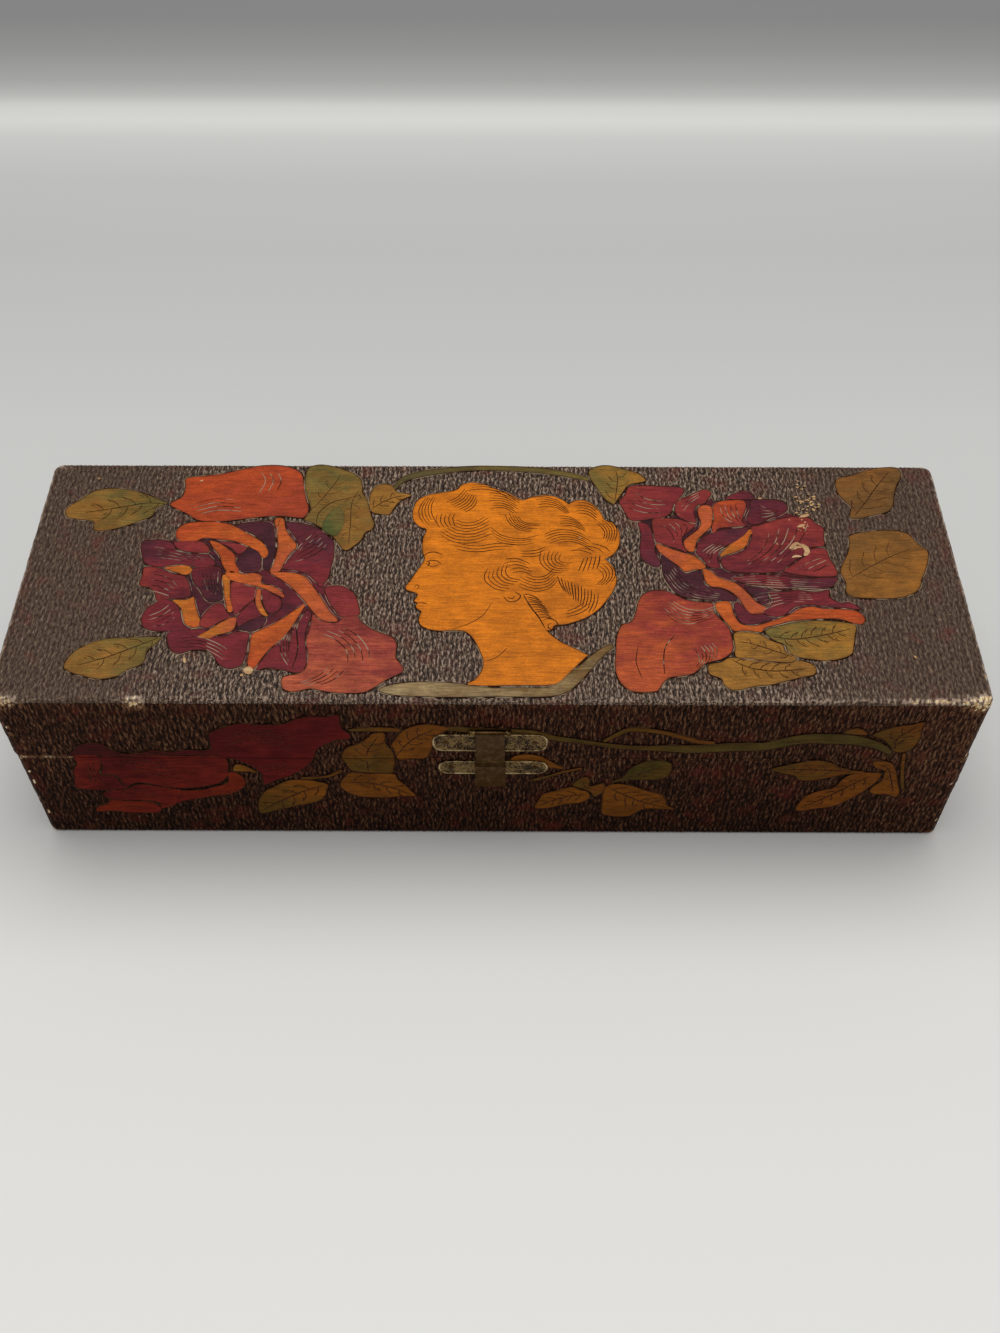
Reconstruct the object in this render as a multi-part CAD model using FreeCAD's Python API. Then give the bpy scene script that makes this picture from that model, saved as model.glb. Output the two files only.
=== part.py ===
"""A long wooden trinket box with a hinged lid, of the kind sold for burning and staining by hand.

Four comb-jointed walls were glued into a frame, a board was glued over the top, another was glued and
bradded under the bottom, and the closed box was then sawn round into a base and a lid. Two butt hinges
join them at the back, and a small stamped clasp holds them at the front.

Millimetres. X runs left to right, Y from front to back and Z up. The origin is under the middle of the
box, on the surface that it stands on. The box is closed.
"""

import FreeCAD, Part
import math
import os

Vector = FreeCAD.Vector

# The closed box
box_length = 284.0
box_depth = 96.0
box_height = 70.0
seam_height = 42.0  # the saw cut that made a base and a lid
saw_gap = 0.25  # what is left open along the cut
lid_slip = 0.5  # how far the lid sits to the left of the base, after years on loose hinges

# Boards
wall_thickness = 6.0
top_thickness = 4.8
bottom_thickness = 4.8
corner_radius = 3.0  # the four upright edges
top_edge_radius = 1.5
bottom_edge_radius = 1.2
base_finger_count = 6
lid_finger_count = 4

# Butt hinges, let into the edges of the back boards
hinge_length = 20.0
hinge_from_end = 46.0  # from an end of the box to the middle of its hinge
hinge_leaf_thickness = 0.8
hinge_leaf_reach = 5.2  # from the back face into the board's edge
knuckle_radius = 1.5
knuckle_count = 3
knuckle_gap = 0.15  # between neighbouring knuckles
knuckle_to_wall = 0.2  # from the back face to the barrel
knuckle_to_leaf = 0.15  # from the barrel to the other leaf's notch
hinge_pin_radius = 0.6
hinge_pin_proud = 0.4  # past each end of the barrel
mortise_clearance = 0.1
hinge_nail_spread = 12.0  # between the two nails of a leaf
hinge_nail_from_back = 2.7  # from the back face to a nail

# Countersunk nails of the hinges
hinge_nail_length = 8.0
hinge_nail_radius = 0.5
hinge_nail_head_radius = 1.05
hinge_nail_head_height = 0.55

# Brads that hold the bottom board
brad_length = 15.0
brad_radius = 0.55
brad_head_radius = 1.1
brad_head_height = 0.6
brad_head_sunk = 0.15  # under the board's surface
brads_along = 4
brads_across = 2
brad_from_corner = 26.0

# The clasp's plate on the lid and its keeper on the base
sheet_thickness = 0.6
clasp_x = -0.3  # middle of the plate and the hasp
keeper_slip = 0.8  # the keeper was nailed on this far to the right
plate_length = 34.0
plate_height = 8.5
plate_end_radius = 3.4
plate_above_seam = 4.2
keeper_length = 33.0
keeper_height = 6.8
keeper_below_seam = 0.9
keeper_end_share = 0.49  # of its height: the keeper's ends are almost half round
plate_nail_from_end = 4.0

# Round-headed nails of the clasp
clasp_nail_length = 4.8  # under the head
clasp_nail_radius = 0.45
clasp_nail_head_radius = 1.0
clasp_nail_head_height = 0.45

# The hasp, the pin that it swings on and the two ears that hold the pin
clasp_pin_radius = 0.45
clasp_knuckle_radius = 1.05
clasp_knuckle_to_wall = 0.08
clasp_pin_above_plate = 1.3  # from the plate's upper edge
clasp_pin_proud = 0.3
ear_width = 1.6
ear_gap = 0.2
hasp_width = 8.5
hasp_pocket_width = 9.0
hasp_pocket_height = 7.4
hasp_pocket_step = 0.85  # how far the pocket is pressed out of the strap
hasp_pocket_slope = 0.7  # height of the sloping step
hasp_pocket_above_seam = 0.2
hasp_flange_depth = 1.3  # sides of the pocket, back from its face
hasp_lip_length = 1.5
hasp_lip_flare = 0.9

# The nose that the pocket snaps over
nose_width = 5.4
nose_height = 4.6
nose_depth = 1.3  # out of the keeper's face

running_clearance = 0.05  # pins in their knuckles
nail_clearance = 0.03  # nails in their holes
overrun = 2.0  # how far a cutting tool passes the surface it cuts

# Places that follow from the sizes above
base_top = seam_height - saw_gap / 2
lid_bottom = seam_height + saw_gap / 2
base_x = lid_slip / 2
lid_x = -lid_slip / 2
front_y = -box_depth / 2
back_y = box_depth / 2
hinge_y = back_y + knuckle_to_wall + knuckle_radius
hinge_places = {"left": hinge_from_end - box_length / 2, "right": box_length / 2 - hinge_from_end}
plate_face_y = front_y - sheet_thickness
plate_low = seam_height + plate_above_seam
keeper_x = clasp_x + keeper_slip
keeper_low = seam_height - keeper_below_seam - keeper_height
clasp_pin_y = front_y - clasp_knuckle_to_wall - clasp_knuckle_radius
clasp_pin_z = plate_low + plate_height + clasp_pin_above_plate

X_AXIS, Y_AXIS, Z_AXIS = Vector(1, 0, 0), Vector(0, 1, 0), Vector(0, 0, 1)


def block(x_low, x_high, y_low, y_high, z_low, z_high):
    """A box between two corners."""
    return Part.makeBox(x_high - x_low, y_high - y_low, z_high - z_low, Vector(x_low, y_low, z_low))


def prism(points, along):
    """A solid with a flat outline, pushed along a vector."""
    outline = Part.makePolygon(points + points[:1])
    return Part.Face(outline).extrude(along)


def edges_along_z(shape):
    """The upright edges of a solid."""
    return [e for e in shape.Edges if abs(e.tangentAt(e.FirstParameter).z) > math.cos(math.radians(1))]


def edges_at_height(shape, height):
    """The edges that lie flat at one height."""
    boxes = [(e, e.BoundBox) for e in shape.Edges]
    return [e for e, box in boxes if max(abs(box.ZMin - height), abs(box.ZMax - height)) < overrun / 1000]


def rounded_board(middle_x, length, depth, z_low, z_high, radius):
    """A flat board, or the whole box's outer form, with its four upright edges rounded."""
    board = block(middle_x - length / 2, middle_x + length / 2, -depth / 2, depth / 2, z_low, z_high)
    return board.makeFillet(radius, edges_along_z(board))


def comb_outline(half_span, z_low, z_high, fingers, own_first):
    """(span, height) points of a wall seen square on: every second finger reaches the box's outer face,
    and the others stop where the neighbouring wall's fingers pass."""
    step = (z_high - z_low) / fingers
    right = []
    for i in range(fingers):
        own = (i % 2 == 0) == own_first
        reach = half_span if own else half_span - wall_thickness
        right.append((reach, z_low + i * step))
        right.append((reach, z_low + (i + 1) * step))
    left = [(-reach, z) for reach, z in reversed(right)]
    return right + left


def wall_frame(middle_x, z_low, z_high, fingers):
    """The four comb-jointed walls of the base or the lid: front, back, left and right."""
    form = rounded_board(middle_x, box_length, box_depth, z_low, z_high, corner_radius)
    long_outline = comb_outline(box_length / 2, z_low, z_high, fingers, True)
    end_outline = comb_outline(box_depth / 2, z_low, z_high, fingers, False)
    walls = {}
    for name, y in (("front", front_y), ("back", back_y - wall_thickness)):
        points = [Vector(middle_x + s, y, z) for s, z in long_outline]
        walls[name] = prism(points, Y_AXIS * wall_thickness).common(form)
    for name, x in (("left", -box_length / 2), ("right", box_length / 2 - wall_thickness)):
        points = [Vector(middle_x + x, s, z) for s, z in end_outline]
        walls[name] = prism(points, X_AXIS * wall_thickness).common(form)
    return walls


def nail(place, into, length, radius, head_radius, head_height, countersunk):
    """A nail with its head's underside, or a countersunk head's top, at place, driven along into."""
    shank = Part.makeCylinder(radius, length, place, into)
    if countersunk:
        head = Part.makeCone(head_radius, radius, head_height, place, into)
        return shank.fuse(head).removeSplitter()
    ball_radius = (head_radius**2 + head_height**2) / (2 * head_height)
    ball = Part.makeSphere(ball_radius, place + into * (ball_radius - head_height))
    cap = Part.makeCylinder(head_radius, head_height, place - into * head_height, into)
    return shank.fuse(ball.common(cap)).removeSplitter()


def nail_hole(place, into, length, radius):
    """The hole that a nail's shank fills, from just outside the surface to just past its point."""
    start = place - into * overrun
    return Part.makeCylinder(radius + nail_clearance, length + overrun + nail_clearance, start, into)


def spread(count, span):
    """Evenly spaced places, centred on zero."""
    return [span * (i / (count - 1) - 1 / 2) for i in range(count)]


# Bottom board, its brads and their holes

def brad_places():
    """Brads go up through the bottom board into the middle of each wall's thickness."""
    in_from_face = wall_thickness / 2
    places = []
    for x in spread(brads_along, box_length - 2 * brad_from_corner):
        for y in (front_y + in_from_face, back_y - in_from_face):
            places.append((base_x + x, y))
    for y in spread(brads_across, box_depth - 2 * brad_from_corner):
        for x in (in_from_face - box_length / 2, box_length / 2 - in_from_face):
            places.append((base_x + x, y))
    return places


def make_brads():
    made = []
    for x, y in brad_places():
        head_top = Vector(x, y, brad_head_sunk)
        shank = Part.makeCylinder(brad_radius, brad_length, head_top, Z_AXIS)
        head = Part.makeCylinder(brad_head_radius, brad_head_height, head_top, Z_AXIS)
        made.append(shank.fuse(head).removeSplitter())
    return made


def brad_holes():
    holes = []
    for x, y in brad_places():
        start = Vector(x, y, -overrun)
        shank_depth = overrun + brad_head_sunk + brad_length + nail_clearance
        head_depth = overrun + brad_head_sunk + brad_head_height + nail_clearance
        shank = Part.makeCylinder(brad_radius + nail_clearance, shank_depth, start, Z_AXIS)
        head = Part.makeCylinder(brad_head_radius + nail_clearance, head_depth, start, Z_AXIS)
        holes.append(shank.fuse(head))
    return holes


def make_bottom_board():
    board = rounded_board(base_x, box_length, box_depth, 0, bottom_thickness, corner_radius)
    board = board.makeFillet(bottom_edge_radius, edges_at_height(board, 0))
    return board.cut(brad_holes()).removeSplitter()


def make_top_board():
    board = rounded_board(lid_x, box_length, box_depth, box_height - top_thickness, box_height, corner_radius)
    return board.makeFillet(top_edge_radius, edges_at_height(board, box_height))


# Hinges

def hinge_leaf(middle_x, side):
    """One leaf with its knuckles. side is -1 for the base's leaf, which has the outer knuckles, and 1 for
    the lid's, which has those between."""
    near = seam_height + side * saw_gap / 2
    far = near + side * hinge_leaf_thickness
    z_low, z_high = min(near, far), max(near, far)
    x_low, x_high = middle_x - hinge_length / 2, middle_x + hinge_length / 2
    notch_y = hinge_y - knuckle_radius - knuckle_to_leaf
    leaf = block(x_low, x_high, back_y - hinge_leaf_reach, notch_y, z_low, z_high)
    pitch = hinge_length / knuckle_count
    own = [i for i in range(knuckle_count) if (i % 2 == 0) == (side < 0)]
    for i in own:
        start = x_low + i * pitch + (knuckle_gap / 2 if i > 0 else 0)
        end = x_low + (i + 1) * pitch - (knuckle_gap / 2 if i < knuckle_count - 1 else 0)
        web = block(start, end, notch_y, hinge_y, z_low, z_high)
        barrel = Part.makeCylinder(knuckle_radius, end - start, Vector(start, hinge_y, seam_height), X_AXIS)
        leaf = leaf.fuse([web, barrel])
    pin_start = Vector(x_low - overrun, hinge_y, seam_height)
    bore_radius = hinge_pin_radius + running_clearance
    leaf = leaf.cut(Part.makeCylinder(bore_radius, hinge_length + 2 * overrun, pin_start, X_AXIS))
    for place, into in hinge_nail_places(middle_x, side):
        leaf = leaf.cut(nail_hole(place, into, hinge_leaf_thickness, hinge_nail_radius))
        sink = Part.makeCone(
            hinge_nail_head_radius + nail_clearance,
            hinge_nail_radius + nail_clearance,
            hinge_nail_head_height,
            place,
            into,
        )
        leaf = leaf.cut(sink)
    return leaf.removeSplitter()


def hinge_nail_places(middle_x, side):
    """(place, direction) of a leaf's two nails, whose heads are flush with the leaf's open face."""
    z = seam_height + side * saw_gap / 2
    y = back_y - hinge_nail_from_back
    return [(Vector(middle_x + x, y, z), Z_AXIS * side) for x in spread(2, hinge_nail_spread)]


def hinge_nails(side):
    made = []
    for middle_x in hinge_places.values():
        for place, into in hinge_nail_places(middle_x, side):
            made.append(
                nail(
                    place,
                    into,
                    hinge_nail_length,
                    hinge_nail_radius,
                    hinge_nail_head_radius,
                    hinge_nail_head_height,
                    True,
                )
            )
    return made


def hinge_cuts(side):
    """Mortises for the leaves and holes for their nails, in the edge of one back board."""
    near = seam_height + side * saw_gap / 2
    far = near + side * hinge_leaf_thickness
    opened = near - side * overrun
    cuts = []
    for middle_x in hinge_places.values():
        half = hinge_length / 2 + mortise_clearance
        y_low = back_y - hinge_leaf_reach - mortise_clearance
        z_low, z_high = min(opened, far), max(opened, far)
        cuts.append(block(middle_x - half, middle_x + half, y_low, back_y + overrun, z_low, z_high))
        for place, into in hinge_nail_places(middle_x, side):
            cuts.append(nail_hole(place, into, hinge_nail_length, hinge_nail_radius))
    return cuts


def hinge_pin(middle_x):
    """The wire through the knuckles, with both ends a little rounded."""
    length = hinge_length + 2 * hinge_pin_proud
    start = Vector(middle_x - length / 2, hinge_y, seam_height)
    pin = Part.makeCylinder(hinge_pin_radius, length, start, X_AXIS)
    ends = [e for e in pin.Edges if e.BoundBox.XLength < hinge_pin_radius]
    return pin.makeFillet(hinge_pin_radius / 2, ends)


# Clasp

def stadium_plate(middle_x, length, z_low, height, end_radius):
    """A flat plate on the box's front, with rounded ends."""
    plate = block(middle_x - length / 2, middle_x + length / 2, plate_face_y, front_y, z_low, z_low + height)
    corners = [e for e in plate.Edges if e.BoundBox.XLength + e.BoundBox.ZLength < sheet_thickness / 2]
    return plate.makeFillet(end_radius, corners)


def clasp_nail_places(middle_x, length, z_low, height):
    """The undersides of the heads of a plate's two nails."""
    reach = length - 2 * plate_nail_from_end
    return [Vector(middle_x + x, plate_face_y, z_low + height / 2) for x in spread(2, reach)]


def clasp_nails(places):
    head = (clasp_nail_head_radius, clasp_nail_head_height)
    return [nail(p, Y_AXIS, clasp_nail_length, clasp_nail_radius, *head, False) for p in places]


def clasp_nail_holes(places):
    return [nail_hole(p, Y_AXIS, clasp_nail_length, clasp_nail_radius) for p in places]


def clasp_bore(width):
    start = Vector(clasp_x - width / 2 - overrun, clasp_pin_y, clasp_pin_z)
    return Part.makeCylinder(clasp_pin_radius + running_clearance, width + 2 * overrun, start, X_AXIS)


def make_clasp_plate(nail_places):
    """The lid's plate, with an ear at each side of the hasp, rolled round the pin."""
    plate = stadium_plate(clasp_x, plate_length, plate_low, plate_height, plate_end_radius)
    first_ear = hasp_width / 2 + ear_gap
    strap_low = plate_low + plate_height - clasp_pin_above_plate
    strap_back = front_y - clasp_knuckle_to_wall
    pieces = []
    for x in (clasp_x - first_ear - ear_width, clasp_x + first_ear):
        pieces.append(block(x, x + ear_width, plate_face_y, strap_back, strap_low, clasp_pin_z))
        roll = Part.makeCylinder(clasp_knuckle_radius, ear_width, Vector(x, clasp_pin_y, clasp_pin_z), X_AXIS)
        pieces.append(roll)
    plate = plate.fuse(pieces).cut([clasp_bore(plate_length)] + clasp_nail_holes(nail_places))
    return plate.removeSplitter()


def make_clasp_pin():
    length = hasp_width + 2 * (ear_gap + ear_width + clasp_pin_proud)
    start = Vector(clasp_x - length / 2, clasp_pin_y, clasp_pin_z)
    return Part.makeCylinder(clasp_pin_radius, length, start, X_AXIS)


def make_keeper(nail_places):
    """The base's plate, with a hollow nose pressed out of its middle."""
    end_radius = keeper_height * keeper_end_share
    plate = stadium_plate(keeper_x, keeper_length, keeper_low, keeper_height, end_radius)
    middle_z = keeper_low + keeper_height / 2

    def lens(height, depth, width):
        low = Vector(keeper_x - width / 2, plate_face_y, middle_z - height / 2)
        top = Vector(keeper_x - width / 2, plate_face_y, middle_z + height / 2)
        crown = Vector(keeper_x - width / 2, plate_face_y - depth, middle_z)
        outline = Part.Wire([Part.Arc(low, crown, top).toShape(), Part.LineSegment(top, low).toShape()])
        return Part.Face(outline).extrude(X_AXIS * width)

    nose = lens(nose_height, nose_depth, nose_width)
    hollow_height = nose_height - 2 * sheet_thickness
    hollow_width = nose_width - 2 * sheet_thickness
    hollow = lens(hollow_height, nose_depth - sheet_thickness / 2, hollow_width)
    window = block(
        keeper_x - hollow_width / 2,
        keeper_x + hollow_width / 2,
        plate_face_y,
        front_y,
        middle_z - hollow_height / 2,
        middle_z + hollow_height / 2,
    )
    return plate.fuse(nose).cut([hollow, window] + clasp_nail_holes(nail_places)).removeSplitter()


def make_hasp():
    """A strap rolled round the pin, whose lower half is pressed out into a pocket with two sides. The
    pocket is open below, so it lifts off the nose, and ends in a lip for a fingernail."""
    strap_face = clasp_pin_y - clasp_knuckle_radius
    strap_back = strap_face + sheet_thickness
    pocket_face = strap_face - hasp_pocket_step
    pocket_back = pocket_face + sheet_thickness
    step_top = seam_height + hasp_pocket_above_seam
    step_low = step_top - hasp_pocket_slope
    pocket_low = step_low - hasp_pocket_height
    lip_low = pocket_low - hasp_lip_length
    half_strap, half_pocket = hasp_width / 2, hasp_pocket_width / 2

    def sheet(outline, half_width):
        points = [Vector(clasp_x - half_width, y, z) for y, z in outline]
        return prism(points, X_AXIS * (2 * half_width))

    strap = sheet(
        [
            (strap_face, clasp_pin_z),
            (strap_back, clasp_pin_z),
            (strap_back, step_top),
            (strap_face, step_top),
        ],
        half_strap,
    )
    front = sheet(
        [
            (strap_face, step_top),
            (strap_back, step_top),
            (pocket_back, step_low),
            (pocket_back, pocket_low),
            (pocket_back - hasp_lip_flare, lip_low),
            (pocket_face - hasp_lip_flare, lip_low),
            (pocket_face, pocket_low),
            (pocket_face, step_low),
        ],
        half_pocket,
    )
    roll_start = Vector(clasp_x - half_strap, clasp_pin_y, clasp_pin_z)
    roll = Part.makeCylinder(clasp_knuckle_radius, hasp_width, roll_start, X_AXIS)
    flange_back = pocket_back + hasp_flange_depth
    sides = []
    for x in (clasp_x - half_pocket, clasp_x + half_pocket - sheet_thickness):
        sides.append(block(x, x + sheet_thickness, pocket_back, flange_back, pocket_low, step_low))
    return strap.fuse([front, roll] + sides).cut(clasp_bore(hasp_width)).removeSplitter()


def main():
    plate_nails = clasp_nail_places(clasp_x, plate_length, plate_low, plate_height)
    keeper_nails = clasp_nail_places(keeper_x, keeper_length, keeper_low, keeper_height)
    base = wall_frame(base_x, bottom_thickness, base_top, base_finger_count)
    lid = wall_frame(lid_x, lid_bottom, box_height - top_thickness, lid_finger_count)
    holes = brad_holes()

    nodes = {
        "bottom_board": [make_bottom_board()],
        "base_front_board": [base["front"].cut(holes + clasp_nail_holes(keeper_nails))],
        "base_back_board": [base["back"].cut(holes + hinge_cuts(-1))],
        "base_left_board": [base["left"].cut(holes)],
        "base_right_board": [base["right"].cut(holes)],
        "bottom_brads": make_brads(),
        "lid_top_board": [make_top_board()],
        "lid_front_board": [lid["front"].cut(clasp_nail_holes(plate_nails))],
        "lid_back_board": [lid["back"].cut(hinge_cuts(1))],
        "lid_left_board": [lid["left"]],
        "lid_right_board": [lid["right"]],
        "hinge_base_nails": hinge_nails(-1),
        "hinge_lid_nails": hinge_nails(1),
        "clasp_plate": [make_clasp_plate(plate_nails)],
        "clasp_plate_nails": clasp_nails(plate_nails),
        "clasp_pin": [make_clasp_pin()],
        "clasp_hasp": [make_hasp()],
        "clasp_keeper": [make_keeper(keeper_nails)],
        "clasp_keeper_nails": clasp_nails(keeper_nails),
    }
    for side, x in hinge_places.items():
        nodes[f"hinge_{side}_base_leaf"] = [hinge_leaf(x, -1)]
        nodes[f"hinge_{side}_lid_leaf"] = [hinge_leaf(x, 1)]
        nodes[f"hinge_{side}_pin"] = [hinge_pin(x)]

    os.makedirs("parts", exist_ok=True)
    for name, solids in nodes.items():
        solids = [s for shape in solids for s in shape.removeSplitter().Solids]
        shape = solids[0] if len(solids) == 1 else Part.makeCompound(solids)
        shape.exportStep(f"parts/{name}.step")
        print(f"{name}: {len(solids)} solid(s), {shape.Volume:.1f} mm3, valid {shape.isValid()}")


main()
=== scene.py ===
# %% [markdown]
# A hand-burned trinket box.
# The box is light wood. Its ground was scorched all over with a hot point, in short strokes side by side,
# and the roses, leaves and head were left standing smooth between them and stained with thin colour.
# The frame brings in the plain boards, hinges and clasp at their real size. This lesson adds the surface.

# %% Load the frame
import math
import random

import bmesh
import bpy
from mathutils import Euler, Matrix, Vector, noise
from mathutils.geometry import interpolate_bezier
from mathutils.kdtree import KDTree


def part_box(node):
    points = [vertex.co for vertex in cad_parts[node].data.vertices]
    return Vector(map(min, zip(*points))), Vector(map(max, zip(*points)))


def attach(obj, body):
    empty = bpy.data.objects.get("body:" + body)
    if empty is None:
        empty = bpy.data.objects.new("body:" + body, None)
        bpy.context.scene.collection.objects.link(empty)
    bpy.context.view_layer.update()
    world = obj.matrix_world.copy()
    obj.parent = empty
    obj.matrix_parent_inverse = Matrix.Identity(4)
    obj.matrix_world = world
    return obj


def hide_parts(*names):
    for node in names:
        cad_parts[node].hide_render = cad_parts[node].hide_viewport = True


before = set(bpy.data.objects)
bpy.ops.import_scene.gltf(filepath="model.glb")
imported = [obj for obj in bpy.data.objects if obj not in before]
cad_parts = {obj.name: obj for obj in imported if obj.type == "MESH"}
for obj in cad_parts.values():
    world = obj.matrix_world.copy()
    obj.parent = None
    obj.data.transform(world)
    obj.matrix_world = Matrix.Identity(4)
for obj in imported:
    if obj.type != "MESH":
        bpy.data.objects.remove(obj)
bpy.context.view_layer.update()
MM = 0.001
print("nodes in the frame:", len(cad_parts))


# %% [markdown]
# The box's sizes come from the frame, so the surface follows the boards if they change. The three edge
# radii are written down again, because a node's two corners don't show them. A node's box is in metres,
# and hand work is easier to think of in millimetres, so one helper turns it round.

# %% Sizes of the box in millimetres
def box_mm(node):
    """A node's lowest and highest corners, in millimetres."""
    low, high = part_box(node)
    return Vector(low) / MM, Vector(high) / MM


top_low, top_high = box_mm("lid_top_board")
bottom_low, bottom_high = box_mm("bottom_board")
HALF_LENGTH = (top_high.x - top_low.x) / 2
HALF_DEPTH = (top_high.y - top_low.y) / 2
LID_X = (top_high.x + top_low.x) / 2
BASE_X = (bottom_high.x + bottom_low.x) / 2
FRONT_Y, BACK_Y = top_low.y, top_high.y
BOTTOM_Z, TOP_Z = bottom_low.z, top_high.z
BASE_TOP_Z = box_mm("base_front_board")[1].z
LID_LOW_Z = box_mm("lid_front_board")[0].z
SEAM = (LID_LOW_Z + BASE_TOP_Z) / 2
CORNER = 3.0  # radius of the upright edges
TOP_EDGE = 1.5  # radius round the lid's top
BOTTOM_EDGE = 1.2  # radius round the underside
print("box", [round(2 * HALF_LENGTH, 1), round(2 * HALF_DEPTH, 1), round(TOP_Z, 1)], "seam", round(SEAM, 2))


# %% [markdown]
# The camera stands where the photographer stood: a little right of the middle, and high enough that
# the top fills most of the picture. Its place and lens came from fitting the box's corners.

# %% Camera
CAMERA_PLACE = Vector((3.5, -278.75, 376.7))
CAMERA_TURN = (38.41, 0.0, 0.23)  # degrees: tip from straight down, roll, swing
camera_data = bpy.data.cameras.new("camera")
camera_data.sensor_width = 36.0
camera_data.lens = 36.87
camera_data.clip_start = 0.01
camera = bpy.data.objects.new("camera", camera_data)
camera.location = CAMERA_PLACE * MM
camera.rotation_euler = Euler([math.radians(a) for a in CAMERA_TURN])
bpy.context.scene.collection.objects.link(camera)
bpy.context.scene.camera = camera
print("camera", round(CAMERA_PLACE.length), "mm from the middle of the underside")


# %% [markdown]
# Colours are written as the hex values that a painter's chart gives, which are for a screen. A shader
# counts light, so one function turns them over. A second one adds any node with its settings and links,
# and a colour ramp's stops with it, so that a material below is read from top to bottom. Every material
# starts with the place on the object in metres and ends in one surface shader.

# %% Colour and node helpers
def colour(hex_value):
    """A screen colour such as B5651D as linear red, green, blue and alpha."""
    parts = [int(hex_value[i : i + 2], 16) / 255 for i in (0, 2, 4)]
    return tuple(c / 12.92 if c <= 0.04045 else ((c + 0.055) / 1.055) ** 2.4 for c in parts) + (1.0,)


def node(tree, kind, inputs=None, stops=(), **settings):
    """Adds a node. An input is a value, a socket, or a node whose first socket is linked to it. A ramp's
    stops are place and hex."""
    made = tree.nodes.new("ShaderNode" + kind)
    for name, value in settings.items():
        setattr(made, name, value)
    for name, value in (inputs or {}).items():
        if isinstance(value, bpy.types.Node):
            value = value.outputs[0]
        if isinstance(value, bpy.types.NodeSocket):
            tree.links.new(value, made.inputs[name])
        else:
            made.inputs[name].default_value = value
    for i, (place, hex_value) in enumerate(stops):
        elements = made.color_ramp.elements
        element = elements[0] if i == 0 else elements[-1] if i == len(stops) - 1 else elements.new(place)
        element.position, element.color = place, colour(hex_value)
    return made


def new_material(name):
    """An empty material, its node tree and the place on the object."""
    material = bpy.data.materials.new(name)
    material.use_nodes = True
    material.node_tree.nodes.clear()
    print("material:", name)
    return material, material.node_tree, node(material.node_tree, "TexCoord").outputs["Object"]


def finish_material(material, look):
    """Gives the surface shader its look, and the material its surface."""
    tree = material.node_tree
    node(tree, "OutputMaterial", {"Surface": node(tree, "BsdfPrincipled", look)})
    return material


def marks(along, across, long_axis):
    """The scale of a pattern whose marks are so many millimetres along one axis and across the others."""
    scale = [1 / (across * MM)] * 3
    scale[long_axis] = 1 / (along * MM)
    return scale


# %% [markdown]
# Bare basswood shows inside the box, along the saw cut and underneath. It is planed and unfinished:
# pale and matt, with long faint grain and a few darker pores. Grain runs along each board, so the end
# boards get the same wood turned round, and the pattern is drawn out about thirty times along the grain.

# %% Bare wood
GRAIN_LENGTH, GRAIN_WIDTH = 55, 1.6


def bare_wood(name, grain_axis, tint):
    material, tree, place = new_material(name)
    drawn = node(tree, "Mapping", {"Vector": place, "Scale": marks(GRAIN_LENGTH, GRAIN_WIDTH, grain_axis)})
    figure = node(tree, "TexNoise", {"Vector": drawn, "Scale": 1.0, "Detail": 5.0, "Roughness": 0.62})
    wood = node(tree, "ValToRGB", {"Fac": figure}, [(0.28, "8A6440"), (0.5, tint), (0.75, "D9BA8C")])
    bump = node(tree, "Bump", {"Height": figure, "Strength": 0.35, "Distance": 0.15 * MM})
    return finish_material(material, {"Base Color": wood, "Roughness": 0.72, "IOR": 1.5, "Normal": bump})


basswood_long = bare_wood("planed basswood, grain along the box", 0, "B98F5E")
basswood_end = bare_wood("planed basswood, grain along the ends", 1, "B08755")


# %% [markdown]
# The scorched ground is charcoal brown in the grooves and tobacco brown on the ridges between them.
# Old varnish lies over it, so it has a low sheen. Flecks under two millimetres long and half a millimetre
# wide break it up. Three values come with the mesh: how high a point stands in the strokes, how worn it
# is, with a painted highlight along the lid's front edge counted in, and how crisp the strokes are there.
# Where wear and that highlight win over the scorch, the colour of bare wood shows through.

# %% Scorched ground
FLECK_WIDTH = 0.42
RED_PATCH = 9  # size of the patches where old red stain has crept into the ground


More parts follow.
